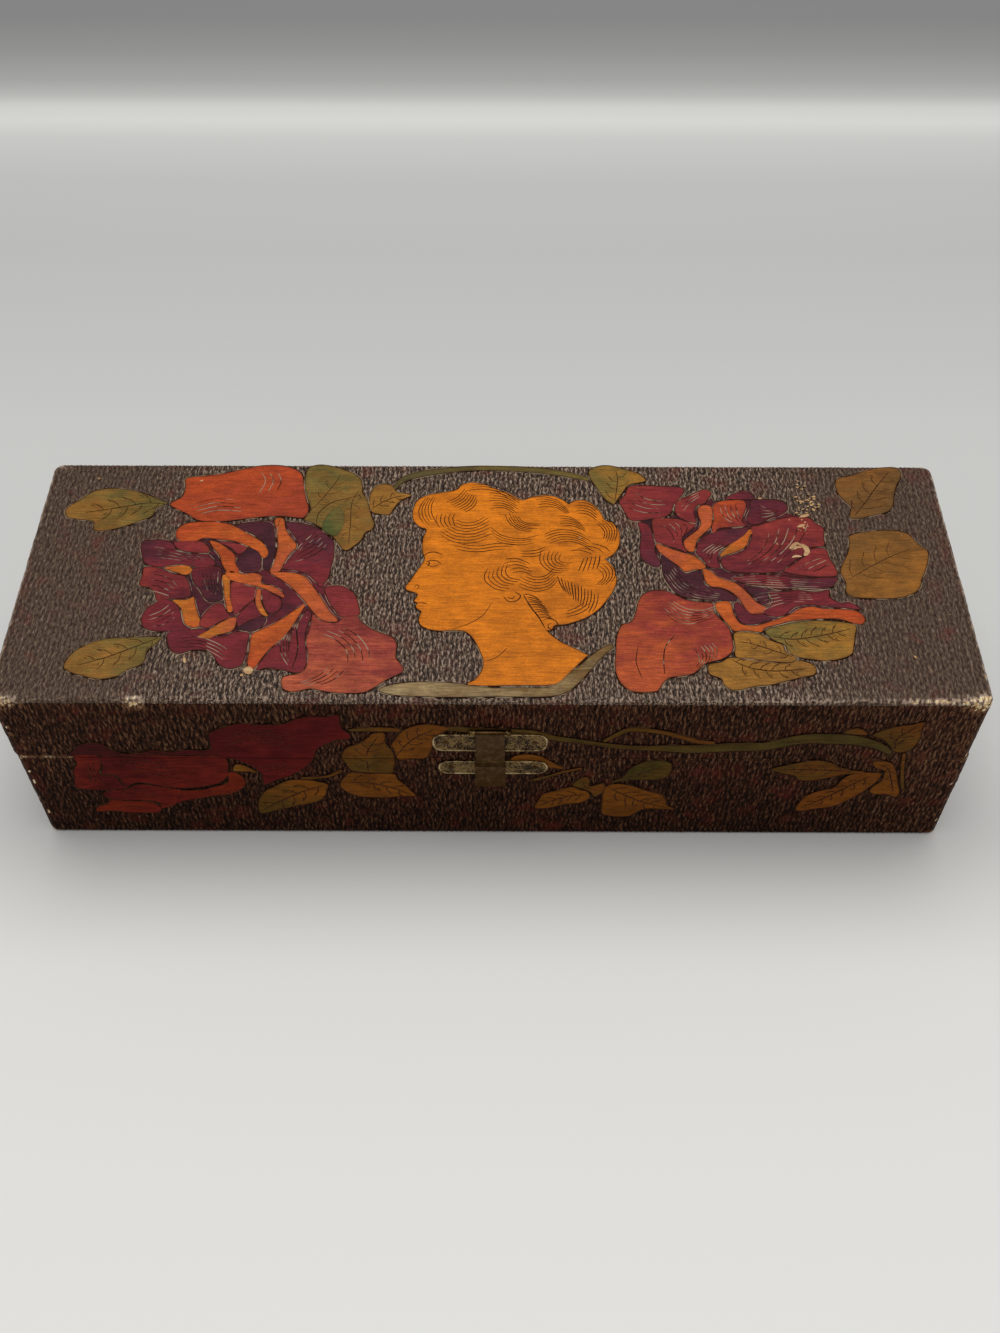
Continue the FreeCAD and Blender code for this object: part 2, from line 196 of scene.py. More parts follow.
def scorched_ground(name, long_axis, stroke_length, tones, gloss):
    material, tree, place = new_material(name)
    ridge, wear, crisp = (
        node(tree, "Attribute", attribute_name=key).outputs["Fac"] for key in ("ridge", "wear", "crisp")
    )
    drawn = node(tree, "Mapping", {"Vector": place, "Scale": marks(stroke_length, FLECK_WIDTH, long_axis)})
    flecks = node(tree, "TexNoise", {"Vector": drawn, "Scale": 1.0, "Detail": 2.0, "Roughness": 0.6})
    strokes = node(tree, "MapRange", {"Value": flecks, "From Min": 0.33, "From Max": 0.67})
    # Flecks and ridges together swing to both sides of nought. Crispness widens the swing, wear (with the
    # painted highlight along the lid's front edge) lifts it towards the pale end, and a half brings its
    # middle to the middle of the tones.
    swing = node(tree, "Math", {0: strokes, 1: 0.9, 2: -0.72}, operation="MULTIPLY_ADD")
    swing = node(tree, "Math", {0: ridge, 1: 0.6, 2: swing}, operation="MULTIPLY_ADD")
    lifted = node(tree, "Math", {0: swing, 1: crisp, 2: wear}, operation="MULTIPLY_ADD")
    light = node(tree, "Math", {0: lifted, 1: 0.5}, operation="ADD")
    scorch = node(tree, "ValToRGB", {"Fac": light}, list(zip((0.0, 0.35, 0.65, 1.0), tones)))
    patch = {"Vector": place, "Scale": 1 / (RED_PATCH * MM), "Detail": 4.0, "Roughness": 0.7}
    crept = {"Value": node(tree, "TexNoise", patch), "From Min": 0.53, "From Max": 0.7, "To Max": 0.42}
    reddish = {"Fac": node(tree, "MapRange", crept), "Color1": scorch, "Color2": colour("64241A")}
    bare = node(tree, "ValToRGB", {"Fac": flecks}, [(0.3, "9A6C3C"), (0.48, "D8B47C"), (0.62, "F4E6C4")])
    # the pale share: worn wood, and along the lid's front edge a painted highlight
    rubbed = node(tree, "MapRange", {"Value": light, "From Min": 1.5, "From Max": 1.62})
    surface = {"Fac": rubbed, "Color1": node(tree, "MixRGB", reddish), "Color2": bare}
    look = {
        "Base Color": node(tree, "MixRGB", surface),
        "Roughness": 0.5,
        "IOR": 1.5,
        "Specular IOR Level": gloss,
        "Normal": node(tree, "Bump", {"Height": flecks, "Strength": 0.8, "Distance": 0.2 * MM}),
    }
    return finish_material(material, look)


TOP_TONES = ("0A0402", "38251A", "624F3F", "A08A78")
# The walls' tones are darker than the lid's as painted shade, since the walls get less light.
SHADED_WALL_TONES = ("080301", "221008", "44281A", "76553C")
ground_top = scorched_ground("scorched and varnished basswood, lid top", 1, 1.5, TOP_TONES, 0.2)
ground_walls_with_painted_shade = scorched_ground("scorched and varnished basswood, walls, with painted shade", 2, 1.9, SHADED_WALL_TONES, 0.02)


# %% [markdown]
# The petals, leaves and head keep the smooth planed surface. Their thin stain lets the grain through,
# which runs the length of the box, and each piece fades from one colour to another. The two colours
# and the fade come with the mesh, and so does how near a point is to the burned outline, where the heat
# browned the wood. Streaks, pools and grain are the same noise, drawn out to their real sizes. Real pores
# are too fine to show, so they are drawn a quarter of a millimetre wide.

# %% Stained wood
def stained_wood(name, grain_axis, gloss):
    material, tree, place = new_material(name)
    first, second = (
        node(tree, "Attribute", attribute_name=key).outputs["Color"] for key in ("stain", "second_stain")
    )
    fade, browned = (
        node(tree, "Attribute", attribute_name=key).outputs["Fac"] for key in ("fade", "browned")
    )

    def pattern(along, across, detail, low, high, to_low, to_high):
        drawn = node(tree, "Mapping", {"Vector": place, "Scale": marks(along, across, grain_axis)})
        figure = node(tree, "TexNoise", {"Vector": drawn, "Scale": 1.0, "Detail": detail, "Roughness": 0.6})
        span = {"From Min": low, "From Max": high, "To Min": to_low, "To Max": to_high}
        return node(tree, "MapRange", {"Value": figure, **span})

    streak = pattern(9, 0.8, 3.0, 0.3, 0.7, -0.3, 0.3)
    pool = pattern(8, 5, 4.0, 0.3, 0.7, -0.45, 0.45)
    share = node(tree, "Math", {0: fade, 1: streak}, operation="ADD")
    share = node(tree, "Math", {0: share, 1: pool}, operation="ADD", use_clamp=True)
    thin = node(tree, "MixRGB", {"Fac": share, "Color1": first, "Color2": second})
    grain = pattern(5, 0.3, 3.0, 0.34, 0.66, 0.74, 1.24)
    pores = pattern(0.7, 0.28, 1.0, 0.32, 0.68, 0.84, 1.16)
    cloud = pattern(6, 4, 4.0, 0.3, 0.7, 0.76, 1.22)
    shade = node(tree, "Math", {0: grain, 1: pores}, operation="MULTIPLY")
    shade = node(tree, "Math", {0: shade, 1: cloud}, operation="MULTIPLY")
    tinted = node(tree, "MixRGB", {"Fac": 1.0, "Color1": thin, "Color2": shade}, blend_type="MULTIPLY")
    uneven = pattern(1.3, 1.3, 2.0, 0.0, 1.0, 0.0, 1.0)
    scorch = node(tree, "Math", {0: browned, 1: uneven}, operation="MULTIPLY")
    look = {
        "Base Color": node(tree, "MixRGB", {"Fac": scorch, "Color1": tinted, "Color2": colour("3A1C10")}),
        "Roughness": 0.42,
        "IOR": 1.5,
        "Specular IOR Level": gloss,
        "Normal": node(tree, "Bump", {"Height": grain, "Strength": 0.3, "Distance": 0.06 * MM}),
    }
    return finish_material(material, look)


stained_top = stained_wood("thin-stained basswood, lid top", 0, 0.12)
stained_walls = stained_wood("thin-stained basswood, long walls", 0, 0.02)
stained_ends = stained_wood("thin-stained basswood, ends", 1, 0.02)


# %% [markdown]
# A burned line is a groove of char. It is nearly black and has no shine. Where light would fall on the side
# of the groove, a paler colour is painted as a highlight, so the line comes and goes in patches.

# %% Burned line
def burned_line(name, char_tone, lit_tone, lit_from, patch):
    """Char, and a painted highlight for its lit side, in patches of so many millimetres."""
    material, tree, place = new_material(name)
    patches = {"Vector": place, "Scale": 1 / (patch * MM), "Detail": 1.0, "Roughness": 0.5}
    ash = node(tree, "TexNoise", patches)
    stops = [(lit_from, char_tone), (lit_from + 0.14, lit_tone)]
    look = {
        "Base Color": node(tree, "ValToRGB", {"Fac": ash}, stops),
        "Roughness": 0.6,
        "IOR": 1.5,
        "Specular IOR Level": 0.03,
        "Normal": node(tree, "Bump", {"Height": ash, "Strength": 0.4, "Distance": 0.08 * MM}),
    }
    return finish_material(material, look)


char_line = burned_line("burned outline in basswood", "1E110B", "4B2C1B", 0.42, 0.6)
lit_line_top = burned_line("lit side of a burned outline, lid top", "2A1A12", "A08C74", 0.46, 4.0)
# The walls' copy has a darker highlight: painted shade, as the walls get less light than the lid.
lit_line_walls = burned_line("lit side of a burned outline, walls", "160A05", "4E3624", 0.5, 4.0)


# %% [markdown]
# Every new mesh keeps its place in its points, so its object sits at the origin. A piece of the box also
# says which body it rides on and which finishes it takes. Edges sharper than a bend stay
# sharp. A smooth step from 0 to 1 and an even noise blend one thing into the next.

# %% Mesh helpers
SHARP_ANGLE = math.radians(50)


def new_object(name, bm, materials, smooth=True):
    """Closes up a bmesh as an object."""
    mesh = bpy.data.meshes.new(name)
    bm.to_mesh(mesh)
    bm.free()
    for material in materials:
        mesh.materials.append(material)
    if smooth:
        mesh.shade_smooth()
    made = bpy.data.objects.new(name, mesh)
    bpy.context.scene.collection.objects.link(made)
    return made


def finish_piece(name, bm, materials, body, smooth=True):
    """Makes a bmesh a piece of the box and hands it to its body."""
    bmesh.ops.recalc_face_normals(bm, faces=bm.faces)
    piece = new_object(name, bm, materials, smooth)
    if smooth:
        piece.data.set_sharp_from_angle(angle=SHARP_ANGLE)
    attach(piece, body)
    return piece


def smoothstep(low, high, value):
    """0 up to low, 1 from high on, and a smooth rise between. It falls where low is the larger."""
    t = min(1.0, max(0.0, (value - low) / (high - low)))
    return t * t * (3 - 2 * t)


def speckle(x, y, z):
    """Even noise from 0 to 1 at a point whose numbers are already divided by the size of a patch."""
    return 0.5 + 0.5 * noise.noise(Vector((x, y, z)))


# %% [markdown]
# The burned strokes were made one beside another, a millimetre and a half apart and about two long, and
# never quite straight. A cosine across the strokes gives the row of ridges, noise wanders it from side
# to side, and a stretched noise breaks each ridge up along its length.

# %% Stroke pattern
STROKE_PITCH = 1.5
STROKE_WANDER = 0.7  # how far a row strays to the side, in pitches
STROKE_LENGTH = 2.2
RELIEF = 0.22  # from groove to ridge
GROOVE = 0.02  # how far the deepest groove stays above the board's flat face
SHEET_ROOT = 0.3  # how deep in the board a sheet's hidden back lies


def stroke_ridge(across, place, long_axis, seed):
    """Height in the burned strokes at a place, from 0 in a groove to 1 on a ridge."""
    wander = STROKE_WANDER * noise.noise(place / 3.2 + Vector((seed, 0, 0)))
    ridge = 0.5 + 0.5 * math.cos(math.tau * (across / STROKE_PITCH + wander))
    stretched = place / 1.4
    stretched[long_axis] = place[long_axis] / STROKE_LENGTH
    broken = 0.5 + 0.5 * noise.noise(stretched + Vector((0, seed, 0)))
    return ridge * (0.35 + 0.65 * min(1.0, 1.5 * broken)) * 0.85 + 0.15 * broken


def ground_sheet(columns, rows, shape_point):
    """A flat grid with a point at each column and row, sent through a rule that gives each its place
    in millimetres and its ridge, wear (with any painted highlight) and crispness."""
    bm = bmesh.new()
    x_count, y_count = len(columns) - 1, len(rows) - 1
    bmesh.ops.create_grid(bm, x_segments=x_count, y_segments=y_count, size=0.5)
    layers = [bm.verts.layers.float.new(key) for key in ("ridge", "wear", "crisp")]
    for vert in bm.verts:
        column = columns[round((vert.co.x + 0.5) * x_count)]
        place, *values = shape_point(column, rows[round((vert.co.y + 0.5) * y_count)])
        vert.co = place * MM
        for layer, value in zip(layers, values):
            vert[layer] = value
    return bm


def draw_in_rim(bm, middle_x):
    """Extrudes the sheet's open edges into the boards, and gives back the edges that are open then."""
    rim = [edge for edge in bm.edges if edge.is_boundary]
    extruded = bmesh.ops.extrude_edge_only(bm, edges=rim)
    for vert in [item for item in extruded["geom"] if isinstance(item, bmesh.types.BMVert)]:
        inward = Vector((middle_x * MM, 0, 0)) - vert.co
        vert.co.x += math.copysign(SHEET_ROOT * MM, inward.x)
        vert.co.y += math.copysign(SHEET_ROOT * MM, inward.y)
    return [edge for edge in bm.edges if edge.is_boundary]


# %% [markdown]
# The lid's top is one sheet of ridges that turns down over the rounded edge. A flat grid is made
# first. Near a corner the grid is square and the box is round, so each ring of points there is drawn
# in from a square to a quarter circle, and past the flat part the ring bends down along the edge.

# %% Bend over the lid's edge
RIM_ARC = TOP_EDGE * math.pi / 2
RIM_TUCK = 0.5  # how far the sheet goes down behind the walls' sheet
RIM_FLAT = CORNER - TOP_EDGE  # how wide a corner's flat part is


def rim_point(x, y):
    """Where a flat grid point lies once the sheet is bent: its place, the way out, how far past the flat."""
    centre_x, centre_y = HALF_LENGTH - CORNER, HALF_DEPTH - CORNER
    out = Vector((max(0.0, abs(x) - centre_x), max(0.0, abs(y) - centre_y)))
    ring = max(out.x, out.y)
    if ring == 0:
        return Vector((x + LID_X, y, TOP_Z)), Vector((0, 0, 1)), -CORNER
    way = out.normalized()
    if ring <= RIM_FLAT:
        radial, drop, lean = ring, 0.0, 0.0
    elif ring <= RIM_FLAT + RIM_ARC:
        lean = (ring - RIM_FLAT) / TOP_EDGE
        radial, drop = RIM_FLAT + TOP_EDGE * math.sin(lean), TOP_EDGE * (1 - math.cos(lean))
    else:
        lean = math.pi / 2
        radial, drop = CORNER, TOP_EDGE + ring - RIM_FLAT - RIM_ARC
    sign_x, sign_y = math.copysign(1, x), math.copysign(1, y)
    spot = Vector((min(abs(x), centre_x), min(abs(y), centre_y))) + way * radial
    outward = Vector((way.x * math.sin(lean) * sign_x, way.y * math.sin(lean) * sign_y, math.cos(lean)))
    return Vector((spot.x * sign_x + LID_X, spot.y * sign_y, TOP_Z - drop)), outward, ring - RIM_FLAT


def spaced(half, edge_band, fine, coarse):
    """Places from -half to half, close together in the edge bands and wider between."""
    inner = half - edge_band
    middle_count = max(1, round(2 * inner / coarse))
    edge_count = max(1, round(edge_band / fine))
    places = [-half + edge_band * i / edge_count for i in range(edge_count)]
    places += [-inner + 2 * inner * i / middle_count for i in range(middle_count)]
    places += [inner + edge_band * i / edge_count for i in range(edge_count + 1)]
    return places


# %% [markdown]
# Years of handling rubbed the edges. A thin pale line runs all along the lid's rounded edge, partly scorch
# rubbed away and partly a painted highlight where the rounded edge catches the light, and just behind the
# front edge lies a faint pale band, partly wear and partly painted sheen. The front's right end is chipped,
# and the corners are down to bare wood. Each kind of wear is a bump that fades with the distance from its
# place, the strongest one counts, and noise breaks it up.

# %% Wear of the lid's edges
BIG_CHIP = -100.5  # where the largest chip on the lid's front edge is


def fading(distance, reach):
    """1 at a place and less and less away from it."""
    return math.exp(-((distance / reach) ** 2))


def corner_wear(place, off_edge):
    """How rubbed the lid is at a place so far along its surface from the middle of the rounded edge. Along
    the front edge the value also holds a painted highlight.
    """
    x, y = place.x - LID_X, place.y
    from_front, from_back = y + HALF_DEPTH, HALF_DEPTH - y
    from_left, from_right = HALF_LENGTH + x, HALF_LENGTH - x
    patch = speckle(x / 9, y / 9, 4.1)
    small = speckle(x / 0.8, y / 0.8, place.z / 0.8)
    off_edge += 0.5 * noise.noise(Vector((x / 1.5, y / 1.5, 2.2)))
    # the line along the front edge: partly rubbed scorch, partly a painted highlight of the rounded edge
    front_edge_rub_and_highlight = 0.26 + 0.78 * max(0, x / HALF_LENGTH) ** 2
    strength = min((from_front, front_edge_rub_and_highlight), (from_right, 0.95), (from_left, 0.95), (from_back, 1.0))[1]
    rub = strength * fading(off_edge, 0.36) * (0.1 + 1.2 * patch)
    # a faint pale band behind the front edge: partly wear, partly painted sheen
    rub = max(rub, 0.04 * fading(from_front, 3.5))
    chipped = smoothstep(44, 6, from_right) * smoothstep(4, 1, from_front)
    rub = max(rub, 1.7 * chipped * (0.3 + 0.7 * patch) * fading(off_edge, 0.8))
    for along, across, most, size in (  # the four corners and the big chip
        (0.6 * from_right, 1.7 * from_front, 2.0, 3.6),
        (0.4 * from_left, 2.0 * from_front, 1.9, 2.6),
        (0.6 * from_left, 1.5 * from_back, 1.0, 2.4),
        (0.6 * from_right, 1.5 * from_back, 0.9, 2.2),
        (0.8 * abs(x - BIG_CHIP), 1.8 * from_front, 1.6, 1.8),
    ):
        rub = max(rub, most * fading(math.hypot(along, across), size))
    return rub * (0.2 + 1.5 * smoothstep(0.4, 0.6, small))


# %% [markdown]
# The strokes on the lid's top run from front to back. They are crisp in the middle, round the head, and
# towards both ends the varnish has filled them, so there the ground is calmer and a little darker.

# %% Ground on the lid's top
EDGE_BAND = 4.6  # how much of the sheet's border has close points
TUCK_DEPTH = 0.12  # how far under the walls' surface the tucked edge lies
WORN_LOSS = 0.35  # the share of the relief that wear takes away
CALM_FROM, CALM_TO = 75, 120  # how far from the middle the ground grows calm


def top_ground_point(x, y):
    place, outward, past_edge = rim_point(x, y)
    ridge = stroke_ridge(x, place, 1, 3.0)
    wear = corner_wear(place, past_edge - RIM_ARC / 2)
    calm = smoothstep(CALM_FROM, CALM_TO, abs(x))
    tuck = smoothstep(RIM_ARC - 0.1, RIM_ARC + 0.4, past_edge)
    height = (GROOVE + RELIEF * ridge) * (1 - tuck) - TUCK_DEPTH * tuck
    height -= WORN_LOSS * RELIEF * smoothstep(0.6, 1.2, wear)
    return place + outward * height, ridge, wear - 0.035 * calm, 1.1 - 0.6 * calm


sheet_reach = RIM_FLAT + RIM_ARC + RIM_TUCK - CORNER
top_sheet = ground_sheet(
    spaced(HALF_LENGTH + sheet_reach, EDGE_BAND, 0.33, 0.33),
    spaced(HALF_DEPTH + sheet_reach, EDGE_BAND, 0.4, 1.1),
    top_ground_point,
)
bmesh.ops.contextual_create(top_sheet, geom=draw_in_rim(top_sheet, LID_X))
print("lid top sheet:", len(top_sheet.faces), "faces")
finish_piece("ground_lid_top", top_sheet, [ground_top], "lid")


# %% [markdown]
# The walls' ground goes right round the base, and another band round the lid. Each starts as a flat
# strip, is wrapped round the box with the upright edges rounded, and has its two ends welded. The front
# has the closest points, because it is seen most.

# %% Way round the box
ROUND_STEPS = 7  # points on each upright edge
FRONT_STEP = 0.33
SIDE_STEP = 0.62
HALF_X, HALF_Y = HALF_LENGTH - CORNER, HALF_DEPTH - CORNER
WALL_RUNS = (2 * HALF_X, 2 * HALF_Y) * 2  # the flat parts of front, right, back and left
CORNER_ARC = CORNER * math.pi / 2


def wall_stations():
    """Distances round the box, from the left end of the front's flat part all the way round to it."""
    stations, start = [], 0.0
    for run, step in zip(WALL_RUNS, (FRONT_STEP, SIDE_STEP, SIDE_STEP, SIDE_STEP)):
        count = round(run / step)
        stations += [start + run * i / count for i in range(count)]
        start += run
        stations += [start + CORNER_ARC * i / ROUND_STEPS for i in range(ROUND_STEPS)]
        start += CORNER_ARC
    return stations + [start]


def wall_point(distance, inset, middle_x):
    """Place in plan and outward direction at a distance round the box, drawn in by inset."""
    corners = ((HALF_X, -HALF_Y), (HALF_X, HALF_Y), (-HALF_X, HALF_Y), (-HALF_X, -HALF_Y))
    for side, run in enumerate(WALL_RUNS):
        turn = math.radians(-90 + 90 * side)
        spot, way = Vector(corners[side]), Vector((math.cos(turn), math.sin(turn)))
        if distance <= run:
            ahead = Vector((-way.y, way.x))
            spot = spot - ahead * run + ahead * distance
            break
        distance -= run
        if distance <= CORNER_ARC or side == 3:
            turn += distance / CORNER
            way = Vector((math.cos(turn), math.sin(turn)))
            break
        distance -= CORNER_ARC
    spot += way * (CORNER - inset)
    return Vector((spot.x + middle_x, spot.y)), way


# %% [markdown]
# On the walls the saw cut shows as a broken pale line, mostly at the left of the front. The upright
# edges are knocked here and there, and the lowest corners are rubbed from being set down.

# %% Wear of the walls
def seam_wear(place):
    """Pale nicks along the saw cut, mostly at the left of the front and at the corners."""
    patch = speckle(place.x / 5.0, place.y / 5.0, 9.3)
    nick = speckle(place.x / 1.2, place.y / 1.2, 1.7)
    left = smoothstep(-60, -125, place.x) * smoothstep(-40, -47, place.y)
    corner = smoothstep(HALF_LENGTH - 5, HALF_LENGTH - 1, abs(place.x))
    strength = 0.15 + 1.2 * left + 0.6 * corner
    return strength * fading(place.z - SEAM, 0.5) * (0.1 + 1.3 * patch) * (0.3 + 1.4 * nick)


def foot_wear(place):
    """Rubbed lower corners of the base."""
    near_end = smoothstep(HALF_LENGTH - 5, HALF_LENGTH - 1, abs(place.x))
    return 1.9 * speckle(place.x / 3, place.y / 3, place.z / 1.5) * smoothstep(2.2, 0.5, place.z) * near_end


def knocked_edge(distance, z):
    """How far an upright edge bulges with old knocks, and how bare they are."""
    bare = smoothstep(0.34, 0.6, noise.noise(Vector((z / 1.9, distance / 1.2, 7.0))))
    return 0.2 * speckle(z / 2.2, distance / 3.0, 2.0), 2.0 * bare


# %% [markdown]
# Both bands are made by one function. The base's band follows the rounded lower edge, and the lid's
# band stops under the sheet of the top. Rows of points lie closer together beside the saw cut, where
# the ground ends. Low on the walls it is darker, and towards the right end of the box a little paler.

# %% Ground round the walls
EDGE_ROWS = (0.0, 0.18, 0.4, 0.8)  # how far in from an end of the band the closest rows lie
LOW_ROWS = 5  # rows on the rounded lower edge
ROW_STEP = 1.0
WALL_CRISPNESS = 0.8
FLOOR_GAP = 0.02  # the lowest that a stroke may reach, so that none goes into the floor


def ground_band(name, body, middle_x, z_low, z_high, rounded_low):
    """A band of burned ground round the box between two heights."""
    stations = wall_stations()
    whole_pitches = round(stations[-1] / STROKE_PITCH)
    if rounded_low:
        rows = [z_low + BOTTOM_EDGE * (1 - math.cos(math.pi / 2 * i / LOW_ROWS)) for i in range(LOW_ROWS)]
        start = z_low + BOTTOM_EDGE
    else:
        rows = [z_low + step for step in EDGE_ROWS[:3]]
        start = z_low + EDGE_ROWS[3]
    end = z_high - EDGE_ROWS[3]
    count = round((end - start) / ROW_STEP)
    rows += [start + (end - start) * i / count for i in range(count + 1)]
    rows += [z_high - step for step in EDGE_ROWS[2::-1]]

    def band_point(distance, z):
        inset, down = 0.0, 0.0
        if rounded_low and z < z_low + BOTTOM_EDGE:
            down = 1 - (z - z_low) / BOTTOM_EDGE
            inset = BOTTOM_EDGE * (1 - math.sqrt(1 - down * down))
        spot, way = wall_point(distance, inset, middle_x)
        place = Vector((spot.x, spot.y, z))
        ridge = stroke_ridge(distance / stations[-1] * whole_pitches * STROKE_PITCH, place, 2, 11.0)
        if rounded_low:
            wear = max(seam_wear(place), foot_wear(place))
        else:
            near_top = smoothstep(z_high - 4, z_high, z)
            wear = max(seam_wear(place), corner_wear(place, z_high - z + RIM_ARC / 2) * near_top)
        soft_edge = smoothstep(0.0, 0.5, abs(z - SEAM))
        height = GROOVE + RELIEF * ridge
        if abs(way.x * way.y) > 0.05:  # on an upright edge
            bulge, bare = knocked_edge(distance, z)
            height += bulge
            wear = max(wear, bare)
        place += Vector((way.x, way.y, -down)).normalized() * height * soft_edge
        place.z = max(place.z, FLOOR_GAP)
        shade = 0.1 * smoothstep(90, 135, spot.x) - 0.1 * smoothstep(50, 12, z)
        return place, ridge, wear + shade, WALL_CRISPNESS

    bm = ground_sheet(stations, rows, band_point)
    bmesh.ops.remove_doubles(bm, verts=bm.verts, dist=0.002 * MM)
    bmesh.ops.bridge_loops(bm, edges=draw_in_rim(bm, middle_x))
    print(name, len(bm.faces), "faces")
    finish_piece(name, bm, [ground_walls_with_painted_shade], body)


ground_band("ground_lid_walls", "lid", LID_X, LID_LOW_Z, TOP_Z - TOP_EDGE, False)
ground_band("ground_base_walls", "base", BASE_X, BOTTOM_Z, BASE_TOP_Z, True)


# %% [markdown]
# A face of the box is a flat sheet to draw on. Each has a rule that turns a drawing's two coordinates
# and a height above the wood into a place: across and up, as someone facing that side sees them. The
# two ends differ only in their side, so one function makes the rule for either.

# %% Faces to draw on
def on_top(u, v, h):
    return Vector((u, v + FRONT_Y, TOP_Z + h)) * MM


def on_front(u, v, h):
    return Vector((u, FRONT_Y - h, v)) * MM


def on_back(u, v, h):
    return Vector((-u, BACK_Y + h, v)) * MM


def on_end(side, middle_x):
    """The rule for an end of the lid or the base: 1 is the right end and -1 the left."""

    def place(u, v, h):
        return Vector((middle_x + side * (HALF_LENGTH + h), side * u, v)) * MM

    return place


# %% [markdown]
# An outline is a few points written in a row: across, up, across, up. A smooth line
# runs through them, and a point written twice makes a sharp corner, such as a leaf's tip. The curve's
# handles point along the line between the two neighbours, and are kept short so that it never loops.

# %% Smooth outlines
SHORT_HANDLE = 0.4  # the longest a handle may be, as a share of its span


def groups(numbers, size=2):
    """A row of numbers as points of so many numbers each."""
    return [tuple(numbers[i : i + size]) for i in range(0, len(numbers), size)]


def smooth_line(points, closed, step=0.75):
    """Points along a smooth line through the given ones."""
    points = [Vector(p) for p in points]
    count = len(points)
    line = []
    for i in range(count if closed else count - 1):
        if closed:
            before, start, end, after = (points[(i + k) % count] for k in (-1, 0, 1, 2))
        else:
            before, start, end, after = (points[min(max(i + k, 0), count - 1)] for k in (-1, 0, 1, 2))
        span = (end - start).length
        if span < 0.01:
            continue
        leave, arrive = (end - before) / 6, (after - start) / 6
        for handle in (leave, arrive):
            if handle.length > SHORT_HANDLE * span:
                handle *= SHORT_HANDLE * span / handle.length
        pieces = max(2, round(span / step))
        line += interpolate_bezier(start, start + leave, end - arrive, end, pieces + 1)[:-1]
    if not closed:
        line.append(points[-1])
    return line


# %% [markdown]
# The burned edge of a petal or leaf runs along inside its outline, and in a narrow tip the edge's two sides
# would cross. So the room inside is measured first: for each point, the largest circle that touches the
# outline there and meets no other part of it. A circle is tried and made smaller until it fits.

# %% Room inside an outline
def free_radii(outline, inward, largest):
    """The radius of the largest circle that touches each point from inside and meets no other part."""
    tree = KDTree(len(outline))
    for i, spot in enumerate(outline):
        tree.insert((spot.x, spot.y, 0), i)
    tree.balance()
    radii = []
    for spot, way in zip(outline, inward):
        radius = largest
        for _ in range(14):
            centre = spot + way * radius
            if tree.find((centre.x, centre.y, 0))[2] > 0.95 * radius:
                break
            radius *= 0.85
        radii.append(radius)
    for _ in range(3):
        around = zip(radii[-1:] + radii[:-1], radii, radii[1:] + radii[:1])
        radii = [min(here, (before + here + after) / 3) for before, here, after in around]
    return radii


# %% [markdown]
# A petal or leaf is its outline filled, raised above the ground, and inset four times. From the outside
# in, the rings are the groove's outer edge, which catches the light, the two slopes of the burned groove
# itself, and a soft band where the heat browned the wood. Where the room is small a ring takes only a
# share of it, so that no two rings cross.

# %% Raised shapes
SHAPE_HEIGHT = 0.34
SHAPE_SINK = 0.15  # how far a shape's foot is sunk in the board
FOOT_DROP = 0.05  # how much lower than its crown a shape's outer wall ends
OVERLAP = 0.3  # how far each shape is drawn larger, so that neighbours meet
BROWNING = 0.6  # how brown the heat made the wood beside the groove
STAIN, CHAR, LIT = range(3)  # the places of a drawing's three finishes
# How far in each ring lies, what share of a narrow part it may take, its height and its finish
RINGS = [
    (0.14, 0.14, -0.03, LIT),
    (0.26, 0.28, -0.16, CHAR),
    (0.38, 0.42, 0.0, CHAR),
    (1.0, 0.75, 0.02, STAIN),
]


def raise_shape(bm, layers, numbers, place, tones, angle, lift):
    """Adds one raised shape. Its stain fades between two tones along an angle in the drawing."""
    outline = smooth_line(groups(numbers), True)
    if sum(a.cross(b) for a, b in zip(outline, outline[1:] + outline[:1])) < 0:
        outline.reverse()
    way = Vector((math.cos(math.radians(angle)), math.sin(math.radians(angle))))
    spans = [p.dot(way) for p in outline]
    low, high = min(spans), max(spans)
    inward = []
    for before, after in zip(outline[-1:] + outline[:-1], outline[1:] + outline[:1]):
        along = (after - before).normalized()
        inward.append(Vector((-along.y, along.x)))
    outline = [spot - inwards * OVERLAP for spot, inwards in zip(outline, inward)]
    known = len(bm.verts)
    foot = bm.faces.new([bm.verts.new((p.x, p.y, -SHAPE_SINK)) for p in outline])
    raised = bmesh.ops.extrude_face_region(bm, geom=[foot])["geom"]
    crown = next(item for item in raised if isinstance(item, bmesh.types.BMFace))
    level = SHAPE_HEIGHT + lift
    for vert in crown.verts:
        vert.co.z = level - FOOT_DROP
    for edge in crown.edges:
        for side in edge.link_faces:
            side.material_index = LIT
    crown.material_index = STAIN
    radii = free_radii(outline, inward, RINGS[-1][0] / RINGS[-1][1])
    for wanted, share, height, finish in RINGS:
        for face in bmesh.ops.inset_individual(bm, faces=[crown], thickness=0, depth=0)["faces"]:
            face.material_index = finish
        for loop, spot, inwards, radius in zip(crown.loops, outline, inward, radii):
            loop.vert.co = (*(spot + inwards * min(wanted, share * radius)), level + height)
    inner = set(crown.verts)
    bm.verts.ensure_lookup_table()
    for vert in bm.verts[known:]:
        u, v, h = vert.co
        vert[layers["stain"]] = tones[0]
        vert[layers["second_stain"]] = tones[1]
        vert[layers["fade"]] = (u * way.x + v * way.y - low) / (high - low)
        vert[layers["browned"]] = 0.0 if vert in inner else BROWNING
        vert.co = place(u, v, h)


# %% [markdown]
# All the shapes of one drawing share a mesh. Neighbours overlap a little, so each stands a few hundredths
# of a millimetre higher or lower than the next, and no two crowns lie in one plane. A drawing that runs
# over the saw cut is made whole and then cut, as the real one was. A shape is written as its two stains,
# the angle at which the one fades into the other, and its outline.

# %% Drawings
LIFT_STEP = 0.01


